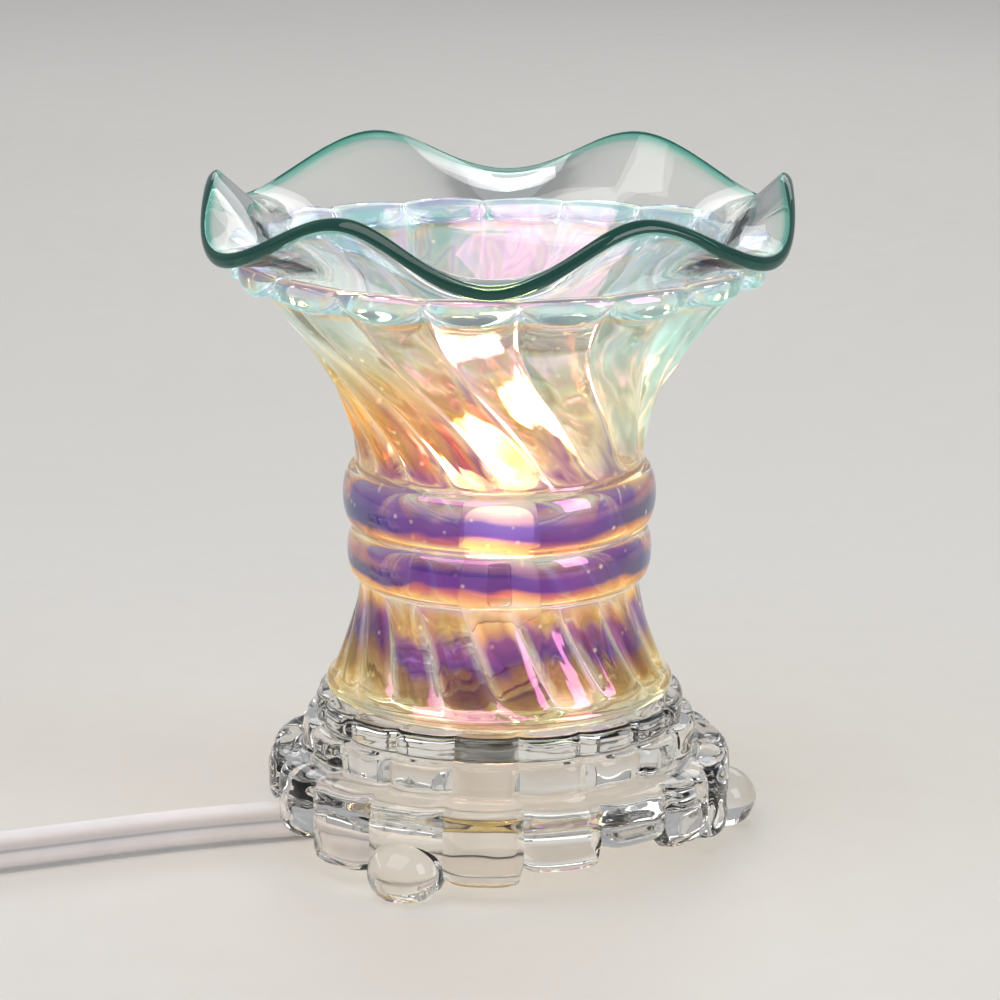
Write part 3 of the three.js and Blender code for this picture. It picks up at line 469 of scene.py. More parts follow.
def dish_line(wave):
    """Middle line of the wall from the bowl's centre to the edge, for an array of wave values."""
    bowl_angle = np.radians(np.linspace(0, BOWL_END, BOWL_STEPS, endpoint=False))
    ones = np.ones_like(wave)[:, None]
    bowl_r = ones * BOWL_RADIUS * np.sin(bowl_angle)
    bowl_z = ones * -BOWL_DEPTH * np.cos(bowl_angle)
    start = (BOWL_RADIUS * math.sin(math.radians(BOWL_END)), -BOWL_DEPTH * math.cos(math.radians(BOWL_END)))
    bend = (BOWL_RADIUS + 0.4 * DISH_WALL, DISH_WALL)
    edge_r = (DISH_EDGE + RUFFLE_OUT * wave)[:, None]
    edge_z = (EDGE_LIFT - RUFFLE_HEIGHT * wave)[:, None]
    t = np.linspace(0, 1, LIP_STEPS)
    lip_r = (1 - t) ** 2 * start[0] + 2 * t * (1 - t) * bend[0] + t ** 2 * edge_r
    lip_z = (1 - t) ** 2 * start[1] + 2 * t * (1 - t) * bend[1] + t ** 2 * edge_z
    return np.stack([np.hstack([bowl_r, lip_r]), np.hstack([bowl_z, lip_z])], axis=-1)


def dish_section(wave):
    """The line thickened to both sides, with a round tip."""
    line = dish_line(wave)
    along = np.gradient(line, axis=1)
    along /= np.linalg.norm(along, axis=2)[:, :, None]
    out = np.stack([along[:, :, 1], -along[:, :, 0]], axis=-1) * DISH_WALL / 2
    out[:, 0] = (0.0, -DISH_WALL / 2)
    tip_angle = np.radians(np.linspace(-90, 90, TIP_STEPS + 2))[1:-1]
    tip = (
        line[:, -1:] + along[:, -1:] * (TIP_REACH * DISH_WALL * np.cos(tip_angle))[None, :, None]
        - out[:, -1:] * np.sin(tip_angle)[None, :, None]
    )
    return np.concatenate([line + out, tip, (line - out)[:, ::-1]], axis=1)


DISH_COLUMNS = 288
dish_turns = WAVE_TURN + 360.0 * np.arange(DISH_COLUMNS) / DISH_COLUMNS
DISH_TABLE = dish_section(np.cos(np.radians((dish_turns - WAVE_TURN) * WAVES)))
DISH_ROWS = DISH_TABLE.shape[1] - 1
print("rows of the dish", DISH_ROWS)

# %% [markdown]
# The sections are laid round the axis as one sheet. A value from 0 in the bowl to 1 at the edge is kept on the points,
# because the edge shows the green of thick glass.


# %% Dish
def place_dish(column, row):
    point = DISH_TABLE[column % DISH_COLUMNS, row]
    return turn_point(np.maximum(point[:, 0], 0.0), dish_turns[column % DISH_COLUMNS], DISH_SEAT + point[:, 1])


def dish_edge_mark(column, row):
    wall_steps = BOWL_STEPS + LIP_STEPS
    step = np.where(row < wall_steps, row, np.where(row < wall_steps + TIP_STEPS, wall_steps, DISH_ROWS - row))
    return np.clip(step / (wall_steps - 1.0), 0.0, 1.0)


laid_sheet("ruffled_dish", DISH_COLUMNS, DISH_ROWS, place_dish, {"rim": dish_edge_mark})

# %% [markdown]
# The base is a heavy pressed block: three tiers of pillow-shaped blocks, hollow below. Bevelled cubes in a ring would
# look like separate bricks, so the tiers are one laid sheet. Its outline is rounded by cutting its corners twice,
# which gives the soft look of glass that was pressed hot.

# %% Base
BLOCKS = 18
PER_BLOCK = 16
BASE_COLUMNS = BLOCKS * PER_BLOCK
BLOCK_GROOVE = 1.35
TOE_SPAN = 120.0
FIRST_TOE = -24.0
FIRST_BLOCK = FIRST_TOE - 10.0
BASE_HEIGHT = 28.6
DECK_UNDER = 22.6
DECK_MIDDLE = 14.0
MID_TOP = BASE_HEIGHT - 4.9
SKIRT_TOP = MID_TOP - 5.8
SKIRT_RADIUS = 44.4
SKIRT_INNER = SKIRT_RADIUS - 5.6
MID_RADIUS = 37.7
TOP_RADIUS = 35.2
ARCH_RISE = 8.1
SKIRT_LIFT = 0.8
CAVITY = MID_RADIUS - 5.6
SHOULDER = SKIRT_TOP - 3.6
NIPPLE_HOLE = 5.3
COLLAR_RADIUS = bell_radius(4.8) - SHADE_WALL - 0.6
COLLAR_TOP = BASE_HEIGHT + 2.2


def block_foot(turn):
    """Height of a block's underside: low beside a toe and high in the middle of an arch."""
    from_toe = np.abs((turn - FIRST_TOE + TOE_SPAN * 1.5) % TOE_SPAN - TOE_SPAN / 2)
    nearest = np.rint(from_toe / 20.0) * 20.0
    return SKIRT_LIFT + (ARCH_RISE - SKIRT_LIFT) * np.minimum(nearest / (TOE_SPAN / 2), 1.0) ** 1.35


def base_outline(column):
    across = np.abs(2 * ((column % PER_BLOCK) / PER_BLOCK) - 1)
    turn = FIRST_BLOCK + 360.0 * column / BASE_COLUMNS
    groove = BLOCK_GROOVE * across ** 4
    low = np.maximum(block_foot(turn - 1e-3), block_foot(turn + 1e-3)) + 0.6 * groove
    skirt, mid, top = SKIRT_RADIUS - groove, MID_RADIUS - groove, TOP_RADIUS - 0.7 * groove
    corners = [
        (NIPPLE_HOLE, DECK_UNDER), (DECK_MIDDLE, DECK_UNDER), (CAVITY - 2.0, DECK_UNDER),
        (CAVITY - 0.3, DECK_UNDER - 1.0), (CAVITY, SHOULDER + 2.0), (CAVITY + 1.0, SHOULDER - 0.4),
        (SKIRT_INNER - 1.0, SHOULDER - 3.2), (SKIRT_INNER, low + 1.5), (SKIRT_INNER + 1.3, low),
        (skirt - 2.2, low), (skirt - 0.2, low + 0.5), (skirt, low + 2.4), (skirt, (low + SKIRT_TOP) / 2),
        (skirt, SKIRT_TOP - 3.0), (skirt - 0.9, SKIRT_TOP - 0.8), (skirt - 3.2, SKIRT_TOP),
        (mid + 0.6, SKIRT_TOP), (mid - 0.2, SKIRT_TOP + 0.5), (mid, SKIRT_TOP + 2.0), (mid, MID_TOP - 1.9),
        (mid - 0.5, MID_TOP - 0.3), (mid - 1.7, MID_TOP), (top - 0.2, MID_TOP + 0.1), (top, MID_TOP + 1.6),
        (top, BASE_HEIGHT - 1.7), (top - 0.5, BASE_HEIGHT - 0.3), (top - 1.7, BASE_HEIGHT),
        (COLLAR_RADIUS + 0.2, BASE_HEIGHT), (COLLAR_RADIUS, BASE_HEIGHT + 0.2), (COLLAR_RADIUS - 0.3, COLLAR_TOP),
        (COLLAR_RADIUS - 1.6, COLLAR_TOP), (COLLAR_RADIUS - 1.8, BASE_HEIGHT), (DECK_MIDDLE, BASE_HEIGHT),
        (NIPPLE_HOLE, BASE_HEIGHT),
    ]
    fixed = np.zeros_like(groove)
    outline = np.array([(fixed + radius, fixed + height) for radius, height in corners]).transpose(2, 0, 1)
    for _ in range(2):
        after = np.roll(outline, -1, axis=1)
        outline = np.stack([0.75 * outline + 0.25 * after, 0.25 * outline + 0.75 * after], axis=2)
        outline = outline.reshape(len(column), -1, 2)
    return outline


BASE_TABLE = base_outline(np.arange(BASE_COLUMNS))
BASE_ROWS = BASE_TABLE.shape[1]


def place_base(column, row):
    point = BASE_TABLE[column % BASE_COLUMNS, row % BASE_ROWS]
    return turn_point(point[:, 0], FIRST_BLOCK + 360.0 * column / BASE_COLUMNS, point[:, 1])


base = laid_sheet("block_base", BASE_COLUMNS, BASE_ROWS, place_base)

# %% [markdown]
# The toes, metal and plastic parts mostly begin as one primitive. A few helpers do what a hand would do in edit mode:
# add a block or a rod, turn a profile, pick the sharp edges that need rounding, and join or cut with a Boolean.


# %% Workshop helpers
def settle(piece, turn=(0.0, 0.0, 0.0), at=(0.0, 0.0, 0.0)):
    """Turns a piece by degrees, moves it by millimetres and keeps the place in its mesh."""
    select_only(piece)
    piece.rotation_euler = [math.radians(v) for v in turn]
    piece.location = [v * MM for v in at]
    bpy.ops.object.transform_apply(location=True, rotation=True, scale=True)
    return piece


def add_block(name, size, middle):
    block = fresh(name, bpy.ops.mesh.primitive_cube_add, size=1.0)
    block.scale = [v * MM for v in size]
    return settle(block, at=middle)


def add_rod(name, radius, low, high, sides=48):
    add = bpy.ops.mesh.primitive_cylinder_add
    rod = fresh(name, add, vertices=sides, radius=radius * MM, depth=(high - low) * MM)
    return settle(rod, at=(0.0, 0.0, (low + high) / 2))


def copy_of(piece, name):
    twin = piece.copy()
    twin.data = piece.data.copy()
    twin.name = twin.data.name = name
    bpy.context.collection.objects.link(twin)
    return twin


def combine(piece, other, operation):
    """Joins, cuts or keeps the common part of two solids, and deletes the second."""
    select_only(piece)
    step = piece.modifiers.new("combine", "BOOLEAN")
    step.operation = operation
    step.solver = "EXACT"
    step.object = other
    bpy.ops.object.modifier_apply(modifier=step.name)
    bpy.data.objects.remove(other)
    return piece


def pick(piece, kind, test):
    """In edit mode, selects only the faces or edges that pass a test."""
    bpy.ops.mesh.select_mode(type=kind)
    bpy.ops.mesh.select_all(action="DESELECT")
    shape = bmesh.from_edit_mesh(piece.data)
    for part in shape.faces if kind == "FACE" else shape.edges:
        part.select_set(bool(test(part)))
    bmesh.update_edit_mesh(piece.data)


def round_edges(piece, width, segments=2, where=lambda middle: True, sharp=30.0):
    """Bevels the sharp edges whose middle, in millimetres, passes the test."""
    def needs_rounding(edge):
        middle = (edge.verts[0].co + edge.verts[1].co) / (2 * MM)
        return edge.calc_face_angle(0.0) > math.radians(sharp) and where(middle)

    with editing(piece):
        pick(piece, "EDGE", needs_rounding)
        bpy.ops.mesh.bevel(offset=width * MM, segments=segments, affect="EDGES", clamp_overlap=True)
        bpy.ops.mesh.select_all(action="SELECT")
        bpy.ops.mesh.remove_doubles(threshold=1e-6)
    smooth_below(35)
    return piece


def turned(name, profile, sides=48):
    """A solid turned from (radius, height) corners: a ring is extruded from one to the next, and its ends filled."""
    radius, height = profile[0]
    piece = fresh(name, bpy.ops.mesh.primitive_circle_add, vertices=sides, radius=radius * MM)
    settle(piece, at=(0.0, 0.0, height))
    with editing(piece):
        for next_radius, next_height in profile[1:]:
            rise = (next_height - height) * MM
            bpy.ops.mesh.extrude_region_move(TRANSFORM_OT_translate={"value": (0.0, 0.0, rise)})
            grow = next_radius / radius
            bpy.ops.transform.resize(value=(grow, grow, 1.0), center_override=(0.0, 0.0, next_height * MM))
            radius, height = next_radius, next_height
    weld_and_close(piece)
    smooth_below(40)
    return piece


# %% [markdown]
# Each toe is a ball of glass pressed a little flat. It is one piece with the base, so it is joined on with a Boolean
# and not just pushed into it. A cut at the table leaves the small flat that it stands on.

# %% Toes of the base
TOES = 3
TOE_WIDTH = 13.8
TOE_TALL = 12.2
TOE_REACH = 43.1
TOE_LEVEL = 4.5
TABLE_CUT = 0.00002


def add_toe(turn):
    toe = fresh("toe", bpy.ops.mesh.primitive_uv_sphere_add, segments=48, ring_count=28, radius=1.0)
    toe.scale = (TOE_WIDTH / 2 * MM, TOE_WIDTH / 2 * MM, TOE_TALL / 2 * MM)
    return settle(toe, at=turn_point(TOE_REACH, turn, TOE_LEVEL))


for toe_number in range(TOES):
    combine(base, add_toe(FIRST_TOE + TOE_SPAN * toe_number), "UNION")
with editing(base):
    bpy.ops.mesh.bisect(plane_co=(0, 0, TABLE_CUT), plane_no=(0, 0, 1), clear_inner=True, use_fill=True)
smooth_below(40)
print("base with toes", len(base.data.vertices), "points")

# %% [markdown]
# Some solids of the model already have the right shape and only lack the small rounds of a moulded or pressed part.
# They could be modelled anew, but a copy is surer: its loose triangles are welded and flattened into faces, and its
# sharp edges get a bevel.

# %% Softened copies
SOFTENED = [
    ("rubber_washer", "rubber_pad", 0.35), ("lower_washer", "lower_plate", 0.2), ("upper_washer", "upper_plate", 0.2),
    ("holder_cup", "lamp_cup", 0.3), ("holder_body", "lamp_holder", 0.4), ("contact_left", "left_contact", 0.12),
    ("contact_right", "right_contact", 0.12), ("bulb_pinch", "lamp_seal", 0.5), ("cord_elbow", "elbow_cap", 0.6),
    ("coil_tie", "coil_strap", 0.25),
]


def softened(node_name, name, width, segments=2, where=lambda middle: True):
    piece = copy_of(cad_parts[node_name], name)
    piece.parent = None
    with editing(piece):
        bpy.ops.mesh.remove_doubles(threshold=1e-6)
        bpy.ops.mesh.dissolve_limited(angle_limit=math.radians(0.5))
    round_edges(piece, width, segments, where)
    print(name, len(piece.data.polygons), "faces")
    return piece


for node_name, name, width in SOFTENED:
    softened(node_name, name, width)

# %% [markdown]
# A bevelled hexagon isn't yet a nut: a real one has curved corners where a cone was turned on it. So each starts as a
# six-sided rod, keeps what it has in common with a turned blank with sloping shoulders, and gets a bore.

# %% Nuts
NUT_FLATS = 15.0
NUT_BORE = 5.2
NUT_SHOULDER = (1.3, 0.8)


def brass_nut(name, node_name):
    low, high = (corner[2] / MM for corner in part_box(node_name))
    nut = add_rod(name, NUT_FLATS / math.sqrt(3), low, high, sides=6)
    corner, slope = NUT_FLATS / 2 + NUT_SHOULDER[0], NUT_SHOULDER[1]
    profile = [(NUT_FLATS / 2, low), (corner, low + slope), (corner, high - slope), (NUT_FLATS / 2, high)]
    combine(nut, turned("blank", profile, 72), "INTERSECT")
    combine(nut, add_rod("bore", NUT_BORE, low - 1, high + 1), "DIFFERENCE")
    weld_and_close(nut, 1e-5)
    smooth_below(30)
    print(name, len(nut.data.polygons), "faces")


brass_nut("lower_brass_nut", "lower_nut")
brass_nut("upper_brass_nut", "upper_nut")

# %% [markdown]
# The tube between the nuts has a true screw thread. A screw modifier needs care at both ends, so it is a laid sheet
# whose radius rises and falls once a pitch, shifted as it goes round.

# %% Threaded tube
TUBE_RADIUS = 5.0
TUBE_BORE = 3.9
THREAD_PITCH = 1.0
THREAD_DEPTH = 0.4
THREAD_STEPS = 8
TUBE_COLUMNS = 40
tube_low, tube_high = (corner[2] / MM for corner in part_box("threaded_nipple"))
tube_steps = int(round((tube_high - tube_low) / THREAD_PITCH * THREAD_STEPS))
tube_heights = np.concatenate([np.linspace(tube_low, tube_high, tube_steps + 1), [tube_high, tube_low, tube_low]])
tube_inside = np.arange(len(tube_heights)) > tube_steps
tube_inside[-1] = False


def place_tube(column, row):
    height = tube_heights[row]
    phase = (height / THREAD_PITCH + column / TUBE_COLUMNS) % 1.0
    thread = THREAD_DEPTH * np.abs(2 * phase - 1)
    radius = np.where(tube_inside[row], TUBE_BORE, TUBE_RADIUS - thread)
    return turn_point(radius, 360.0 * column / TUBE_COLUMNS, height)


laid_sheet("threaded_tube", TUBE_COLUMNS, len(tube_heights) - 1, place_tube)
smooth_below(35)

# %% [markdown]
# All three screws are alike: a turned head with a soft crown, a thin shank and a straight slot cut across the head.
# Only the length of the shank differs, so one recipe makes them all.

# %% Screws
HEAD_RADIUS = 2.2
HEAD_HEIGHT = 1.1
SHANK_RADIUS = 0.9
SLOT_SIZE = (5.0, 0.6, 1.2)


def slotted_screw(name, reach):
    """A screw that points down, with the top of its head at the origin."""
    screw = turned(name, [
        (0.5, -reach), (SHANK_RADIUS, 0.6 - reach), (SHANK_RADIUS, -HEAD_HEIGHT), (HEAD_RADIUS, -HEAD_HEIGHT),
        (HEAD_RADIUS, -0.5), (HEAD_RADIUS - 0.2, -0.2), (HEAD_RADIUS - 0.7, -0.03), (0.4, 0.0),
    ], 32)
    return combine(screw, add_block("slot", SLOT_SIZE, (0.0, 0.0, 0.0)), "DIFFERENCE")


def screw_for(name, node_name, turn, along=2):
    """A screw in the place of a solid, with its head on top, or in front where it lies along Y."""
    low, high = (np.array(corner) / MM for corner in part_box(node_name))
    middle = (low + high) / 2
    middle[along] = low[along] if along == 1 else high[along]
    screw = settle(slotted_screw(name, (high - low)[along]), turn, middle)
    print(name, len(screw.data.polygons), "faces")


screw_for("near_screw", "dimmer_screw_near", (0.0, 0.0, 25.0))
screw_for("far_screw", "dimmer_screw_far", (0.0, 0.0, -40.0))
screw_for("clamp_screw", "holder_screw", (90.0, 0.0, 0.0), along=1)

# %% [markdown]
# The dimmer is a moulded box in two halves with a thumb wheel in a slot. The halves are softened copies: wide rounds
# on the outside where a hand holds them, fine ones round the slot and the seam.

# %% Dimmer halves
DIMMER_X = -158.5
OUTLINE_REACH = (25.0, 10.5)
LID_TOP = 18.0
TRAY_LOW = 1.0
SEAM_LEVEL = 11.0


def on_outline(middle):
    aside = abs(middle.x - DIMMER_X) > OUTLINE_REACH[0]
    return aside or abs(middle.y - DIMMER_Y / MM) > OUTLINE_REACH[1]


def on_lid_edge(middle):
    return on_outline(middle) and middle.z > LID_TOP


def on_tray_edge(middle):
    return on_outline(middle) and middle.z < TRAY_LOW


for half in (
    softened("dimmer_upper_shell", "dimmer_lid", 1.6, 4, on_lid_edge),
    softened("dimmer_lower_shell", "dimmer_tray", 1.2, 3, on_tray_edge),
):
    round_edges(half, 0.25, 2, lambda middle: middle.z > SEAM_LEVEL)

# %% [markdown]
# The wheel is a many-sided rod. Every second face of its rim is inset and pushed in, which makes the grip, and its
# sides are dished. A Boolean for each tooth would take longer and leave untidy faces.

# %% Thumb wheel
WHEEL_RADIUS = 9.7
WHEEL_THICK = 6.0
WHEEL_LEVEL = 11.4
WHEEL_TEETH = 44
AXLE_RADIUS = 2.0
AXLE_LENGTH = 12.0


def in_groove(face):
    middle = face.calc_center_median()
    tooth = int(math.degrees(math.atan2(middle.y, middle.x)) % 360.0 / (180.0 / WHEEL_TEETH))
    return abs(face.normal.z) < 0.1 and tooth % 2 == 0


wheel = add_rod("thumb_wheel", WHEEL_RADIUS, -WHEEL_THICK / 2, WHEEL_THICK / 2, 2 * WHEEL_TEETH)
round_edges(wheel, 0.35, 2)
with editing(wheel):
    pick(wheel, "FACE", in_groove)
    bpy.ops.mesh.inset(thickness=0.08 * MM, depth=-0.4 * MM, use_individual=True)
    pick(wheel, "FACE", lambda face: abs(face.normal.z) > 0.99)
    bpy.ops.mesh.inset(thickness=1.6 * MM, depth=0.0)
    bpy.ops.mesh.inset(thickness=0.5 * MM, depth=-0.7 * MM)
axle = round_edges(add_rod("axle", AXLE_RADIUS, -AXLE_LENGTH / 2, AXLE_LENGTH / 2, 32), 0.3, 2)
combine(wheel, axle, "UNION")
smooth_below(30)
settle(wheel, (90.0, 0.0, 0.0), (DIMMER_X, DIMMER_Y / MM, WHEEL_LEVEL))
print("wheel", len(wheel.data.polygons), "faces")

# %% [markdown]
# The plug is one moulding: a ribbed sleeve that keeps the lead from kinking, swelling into a body with a waist for
# the fingers. Its section changes from round to square, which a turned shape can't do, so it is a laid sheet of
# rounded sections. Each station gives the way along, half the width, the lowest and highest point, and the squareness.

# %% Plug
PLUG_TURN = -26.565
PLUG_AT = (-161.6, 44.76, 0.0)
PLUG_COLUMNS = 56
PLUG_STATIONS = [
    (0.3, 2.65, 0.3, 8.3, 2.4), (6.0, 3.2, 0.3, 8.85, 2.5), (12.0, 3.8, 0.3, 9.45, 2.6),
    (16.8, 4.4, 0.3, 10.0, 2.8), (18.6, 6.0, 0.3, 11.4, 3.0), (20.4, 9.4, 0.3, 13.8, 3.4),
    (23.2, 11.7, 0.3, 15.1, 4.0), (26.0, 11.7, 0.3, 15.2, 4.2), (31.0, 11.0, 0.4, 14.8, 4.4),
    (36.0, 11.7, 0.3, 15.2, 4.8), (39.2, 11.95, 0.3, 15.25, 5.0),
]
PLUG_FACE = [(39.9, 11.7, 0.55, 15.0, 5.0), (40.2, 11.3, 0.95, 14.6, 5.0), (40.3, 10.7, 1.5, 14.0, 5.0)]
RIB_START = 1.6
RIB_PITCH = 2.9
RIB_DEPTH = 0.55
SLEEVE_END = 16.4

plug_rows = np.vstack([through(PLUG_STATIONS, 9), PLUG_FACE])
rib_wave = np.sin(2 * np.pi * (plug_rows[:, 0] - RIB_START) / RIB_PITCH)
rib = np.clip(rib_wave, 0.0, 1.0) ** 0.7 * (plug_rows[:, 0] < SLEEVE_END)
plug_rows[:, 1] -= RIB_DEPTH * rib
plug_rows[:, 3] -= RIB_DEPTH * rib


def place_plug(column, row):
    along, half, low, high, square = plug_rows[row].T
    angle = 2 * np.pi * column / PLUG_COLUMNS
    across = np.sign(np.cos(angle)) * np.abs(np.cos(angle)) ** (2 / square)
    upward = np.sign(np.sin(angle)) * np.abs(np.sin(angle)) ** (2 / square)
    return np.stack([along, half * across, (low + high) / 2 + (high - low) / 2 * upward], axis=-1)


plug_grip = laid_sheet("plug_grip", PLUG_COLUMNS, len(plug_rows) - 1, place_plug)
smooth_below(50)
settle(plug_grip, (0.0, 0.0, PLUG_TURN), PLUG_AT)

# %% [markdown]
# The blades are stamped from brass strip. Each starts as a block. Its two tip corners are rounded first, then the
# edges near the tip are eased, and a hole is cut through it.

# %% Plug blades
BLADE_SIZE = (23.0, 1.5, 6.3)
BLADE_MIDDLE = (45.8, 6.35, 7.8)
BLADE_HOLE = 1.6
HOLE_FROM_TIP = 4.2


def plug_blade(name, side):
    along, aside, level = BLADE_MIDDLE
    tip = along + BLADE_SIZE[0] / 2
    blade = add_block(name, BLADE_SIZE, (along, side * aside, level))
    round_edges(blade, 1.5, 5, lambda middle: middle.x > tip - 0.01 and abs(middle.y - side * aside) < 0.01)
    round_edges(blade, 0.3, 2, lambda middle: middle.x > tip - 3.0)
    hole_at = (tip - HOLE_FROM_TIP, side * aside, level)
    combine(blade, settle(add_rod("hole", BLADE_HOLE, -3.0, 3.0, 32), (90.0, 0.0, 0.0), hole_at), "DIFFERENCE")
    smooth_below(30)
    settle(blade, (0.0, 0.0, PLUG_TURN), PLUG_AT)
    print(name, len(blade.data.polygons), "faces")


plug_blade("left_blade", -1)
plug_blade("right_blade", 1)

# %% [markdown]
# The lamp is a small glass capsule on a flat pressed seal. It is turned with a true inside and a drawn tip. Its
# glowing wire is a fine coil bent into an arch: a tube along a helix, laid as a sheet, so that both bends stay even.

# %% Lamp
CAPSULE = [
    (0.3, 86.6), (2.4, 86.1), (4.2, 84.6), (5.3, 82.4), (5.7, 80.0), (5.7, 70.5), (5.4, 69.4), (5.45, 67.5),
    (6.0, 67.4), (6.4, 68.0), (6.5, 69.5), (6.5, 80.0), (6.1, 82.8), (4.9, 85.3), (3.0, 87.0), (1.3, 87.5),
    (0.8, 87.8), (0.5, 88.3), (0.2, 88.4),
]
WIRE_TURNS = 13
WIRE_RADIUS = 0.13
WIRE_COIL = 0.36
WIRE_SIDES = 6
WIRE_STEPS = WIRE_TURNS * 16
ARCH_HALF, ARCH_LOW, ARCH_TALL = 2.5, 77.5, 3.1

turned("lamp_capsule", CAPSULE, 64)
wire_share = np.linspace(0.0, 1.0, WIRE_STEPS + 1)
wire_bend = np.pi * wire_share
wire_spin = 2 * np.pi * WIRE_TURNS * wire_share
wire_out = np.stack([-np.cos(wire_bend), 0 * wire_bend, np.sin(wire_bend)], axis=-1)
sideways = np.array([0.0, 1.0, 0.0])
wire_away = np.cos(wire_spin)[:, None] * wire_out + np.sin(wire_spin)[:, None] * sideways
wire_arch = np.stack([
    -ARCH_HALF * np.cos(wire_bend), 0 * wire_bend, ARCH_LOW + ARCH_TALL * np.sin(wire_bend),
], axis=-1)


def place_wire(column, row):
    angle = (2 * np.pi / WIRE_SIDES * column)[:, None]
    along = np.cross(wire_out[row], sideways)
    middle = wire_arch[row] + WIRE_COIL * wire_away[row]
    return middle + WIRE_RADIUS * (np.cos(angle) * wire_away[row] + np.sin(angle) * along)


laid_sheet("glow_wire", WIRE_SIDES, WIRE_STEPS, place_wire)

# %% [markdown]
# A finish is a small network of nodes. On real glass, metal and plastic the colour wanders and the shine is uneven, so
# most networks need noise, ramps and mixes. Nodes can be added one by one, but helpers that return a socket keep each
# recipe short: a value that is a socket gets linked, and any other value is set.


# %% Node helpers
def feed(tree, holder, values):
    """Fills a node's inputs by name or number."""
    for name, value in values.items():
        if isinstance(value, bpy.types.NodeSocket):
            tree.links.new(value, holder.inputs[name])
        else:
            holder.inputs[name].default_value = value


def add_node(tree, kind, values, **settings):
    node = tree.nodes.new("ShaderNode" + kind)
    for setting, value in settings.items():
        setattr(node, setting, value)
    feed(tree, node, values)
    return node


def add_noise(tree, place, scale, detail=2.0, distortion=0.0):
    values = {"Vector": place, "Scale": scale, "Detail": detail, "Distortion": distortion}
    return add_node(tree, "TexNoise", values).outputs["Fac"]


def add_span(tree, value, low, high, to_low=0.0, to_high=1.0):
    """Maps low to to_low and high to to_high, and stops at the ends."""
    values = {"Value": value, "From Min": low, "From Max": high, "To Min": to_low, "To Max": to_high}
    return add_node(tree, "MapRange", values).outputs["Result"]


def add_math(tree, operation, *numbers):
    return add_node(tree, "Math", dict(enumerate(numbers)), operation=operation).outputs["Value"]


def add_mix(tree, share, first, second, kind="FLOAT", blend="MIX"):
    values = {"Factor": share, "A": first, "B": second}
    return add_node(tree, "Mix", values, data_type=kind, blend_type=blend).outputs["Result"]


def add_mark(tree, name, output="Fac"):
    return add_node(tree, "Attribute", {}, attribute_name=name).outputs[output]


def add_ramp(tree, value, stops):
    ramp = add_node(tree, "ValToRGB", {"Fac": value})
    elements = ramp.color_ramp.elements
    elements.remove(elements[-1])
    elements[0].position, elements[0].color = stops[0][0], (*stops[0][1], 1.0)
    for position, colour in stops[1:]:
        elements.new(position).color = (*colour, 1.0)
    return ramp.outputs["Color"]


def add_bump(tree, height, strength, distance):
    return add_node(tree, "Bump", {"Height": height, "Strength": strength, "Distance": distance}).outputs["Normal"]


def new_material(name):
    material = bpy.data.materials.new(name)
    material.use_nodes = True
    tree = material.node_tree
    return material, tree, tree.nodes["Principled BSDF"], add_node(tree, "TexCoord", {}).outputs["Object"]


# %% [markdown]
# Effects that several finishes share are node groups, built once: the faint marks of handling that make a shine
# uneven, and the slow ripple of pressed glass, which with more grain also serves for plastic and metal.


# %% Shared groups
def add_group(name, usual, output):
    """A group with a place, numbers with their usual values, and one number that comes out."""
    tree = bpy.data.node_groups.new(name, "ShaderNodeTree")
    tree.interface.new_socket("Vector", in_out="INPUT", socket_type="NodeSocketVector")
    for label, value in usual.items():
        tree.interface.new_socket(label, in_out="INPUT", socket_type="NodeSocketFloat").default_value = value
    tree.interface.new_socket(output, in_out="OUTPUT", socket_type="NodeSocketFloat")
    return tree, tree.nodes.new("NodeGroupInput").outputs, tree.nodes.new("NodeGroupOutput")


def use_group(tree, group, place, values):
    return add_node(tree, "Group", {"Vector": place, **values}, node_tree=group).outputs[0]


MARKS, entry, leave = add_group("handling_marks", {"Scale": 60.0, "Low": 0.2, "High": 0.4}, "Roughness")
patches = add_noise(MARKS, entry["Vector"], entry["Scale"], 4.0)
feed(MARKS, leave, {"Roughness": add_span(MARKS, patches, 0.3, 0.7, entry["Low"], entry["High"])})

RIPPLE, entry, leave = add_group("slow_ripple", {"Scale": 90.0, "Grain": 0.1}, "Height")
slow, fine = (add_noise(RIPPLE, entry["Vector"], scale) for scale in (entry["Scale"], 900.0))
feed(RIPPLE, leave, {"Height": add_mix(RIPPLE, entry["Grain"], slow, fine)})
print("groups", [group.name for group in bpy.data.node_groups])

# %% [markdown]
# Glass comes in four kinds here: the clear block, the lustre shade, the dish and the lamp. All refract light. Left to
# itself, such glass casts a shadow like stone, and true caustics would take far too long, so shadow rays pass it with
# a tint. The block and the lamp's seal only need a colour that is cloudy by a hair.

# %% Clear glass
GLASS = {"Transmission Weight": 1.0, "IOR": 1.5}


def let_light_through(tree, shader, tint):
    ray = add_node(tree, "LightPath", {}).outputs["Is Shadow Ray"]
    clear = add_node(tree, "BsdfTransparent", {"Color": (*tint, 1.0)}).outputs["BSDF"]
    mixed = add_node(tree, "MixShader", {"Fac": ray, 1: shader.outputs["BSDF"], 2: clear}).outputs["Shader"]
    feed(tree, tree.nodes["Material Output"], {"Surface": mixed})


def pressed_glass(name, roughness, ripple_scale, ripple_depth, shadow_tint):
    material, tree, shader, place = new_material(name)
    ripple = use_group(tree, RIPPLE, place, {"Scale": ripple_scale, "Grain": 0.0})
    feed(tree, shader, {**GLASS, "Roughness": roughness, "Normal": add_bump(tree, ripple, 0.25, ripple_depth)})
    let_light_through(tree, shader, shadow_tint)
    return material, tree, shader, place


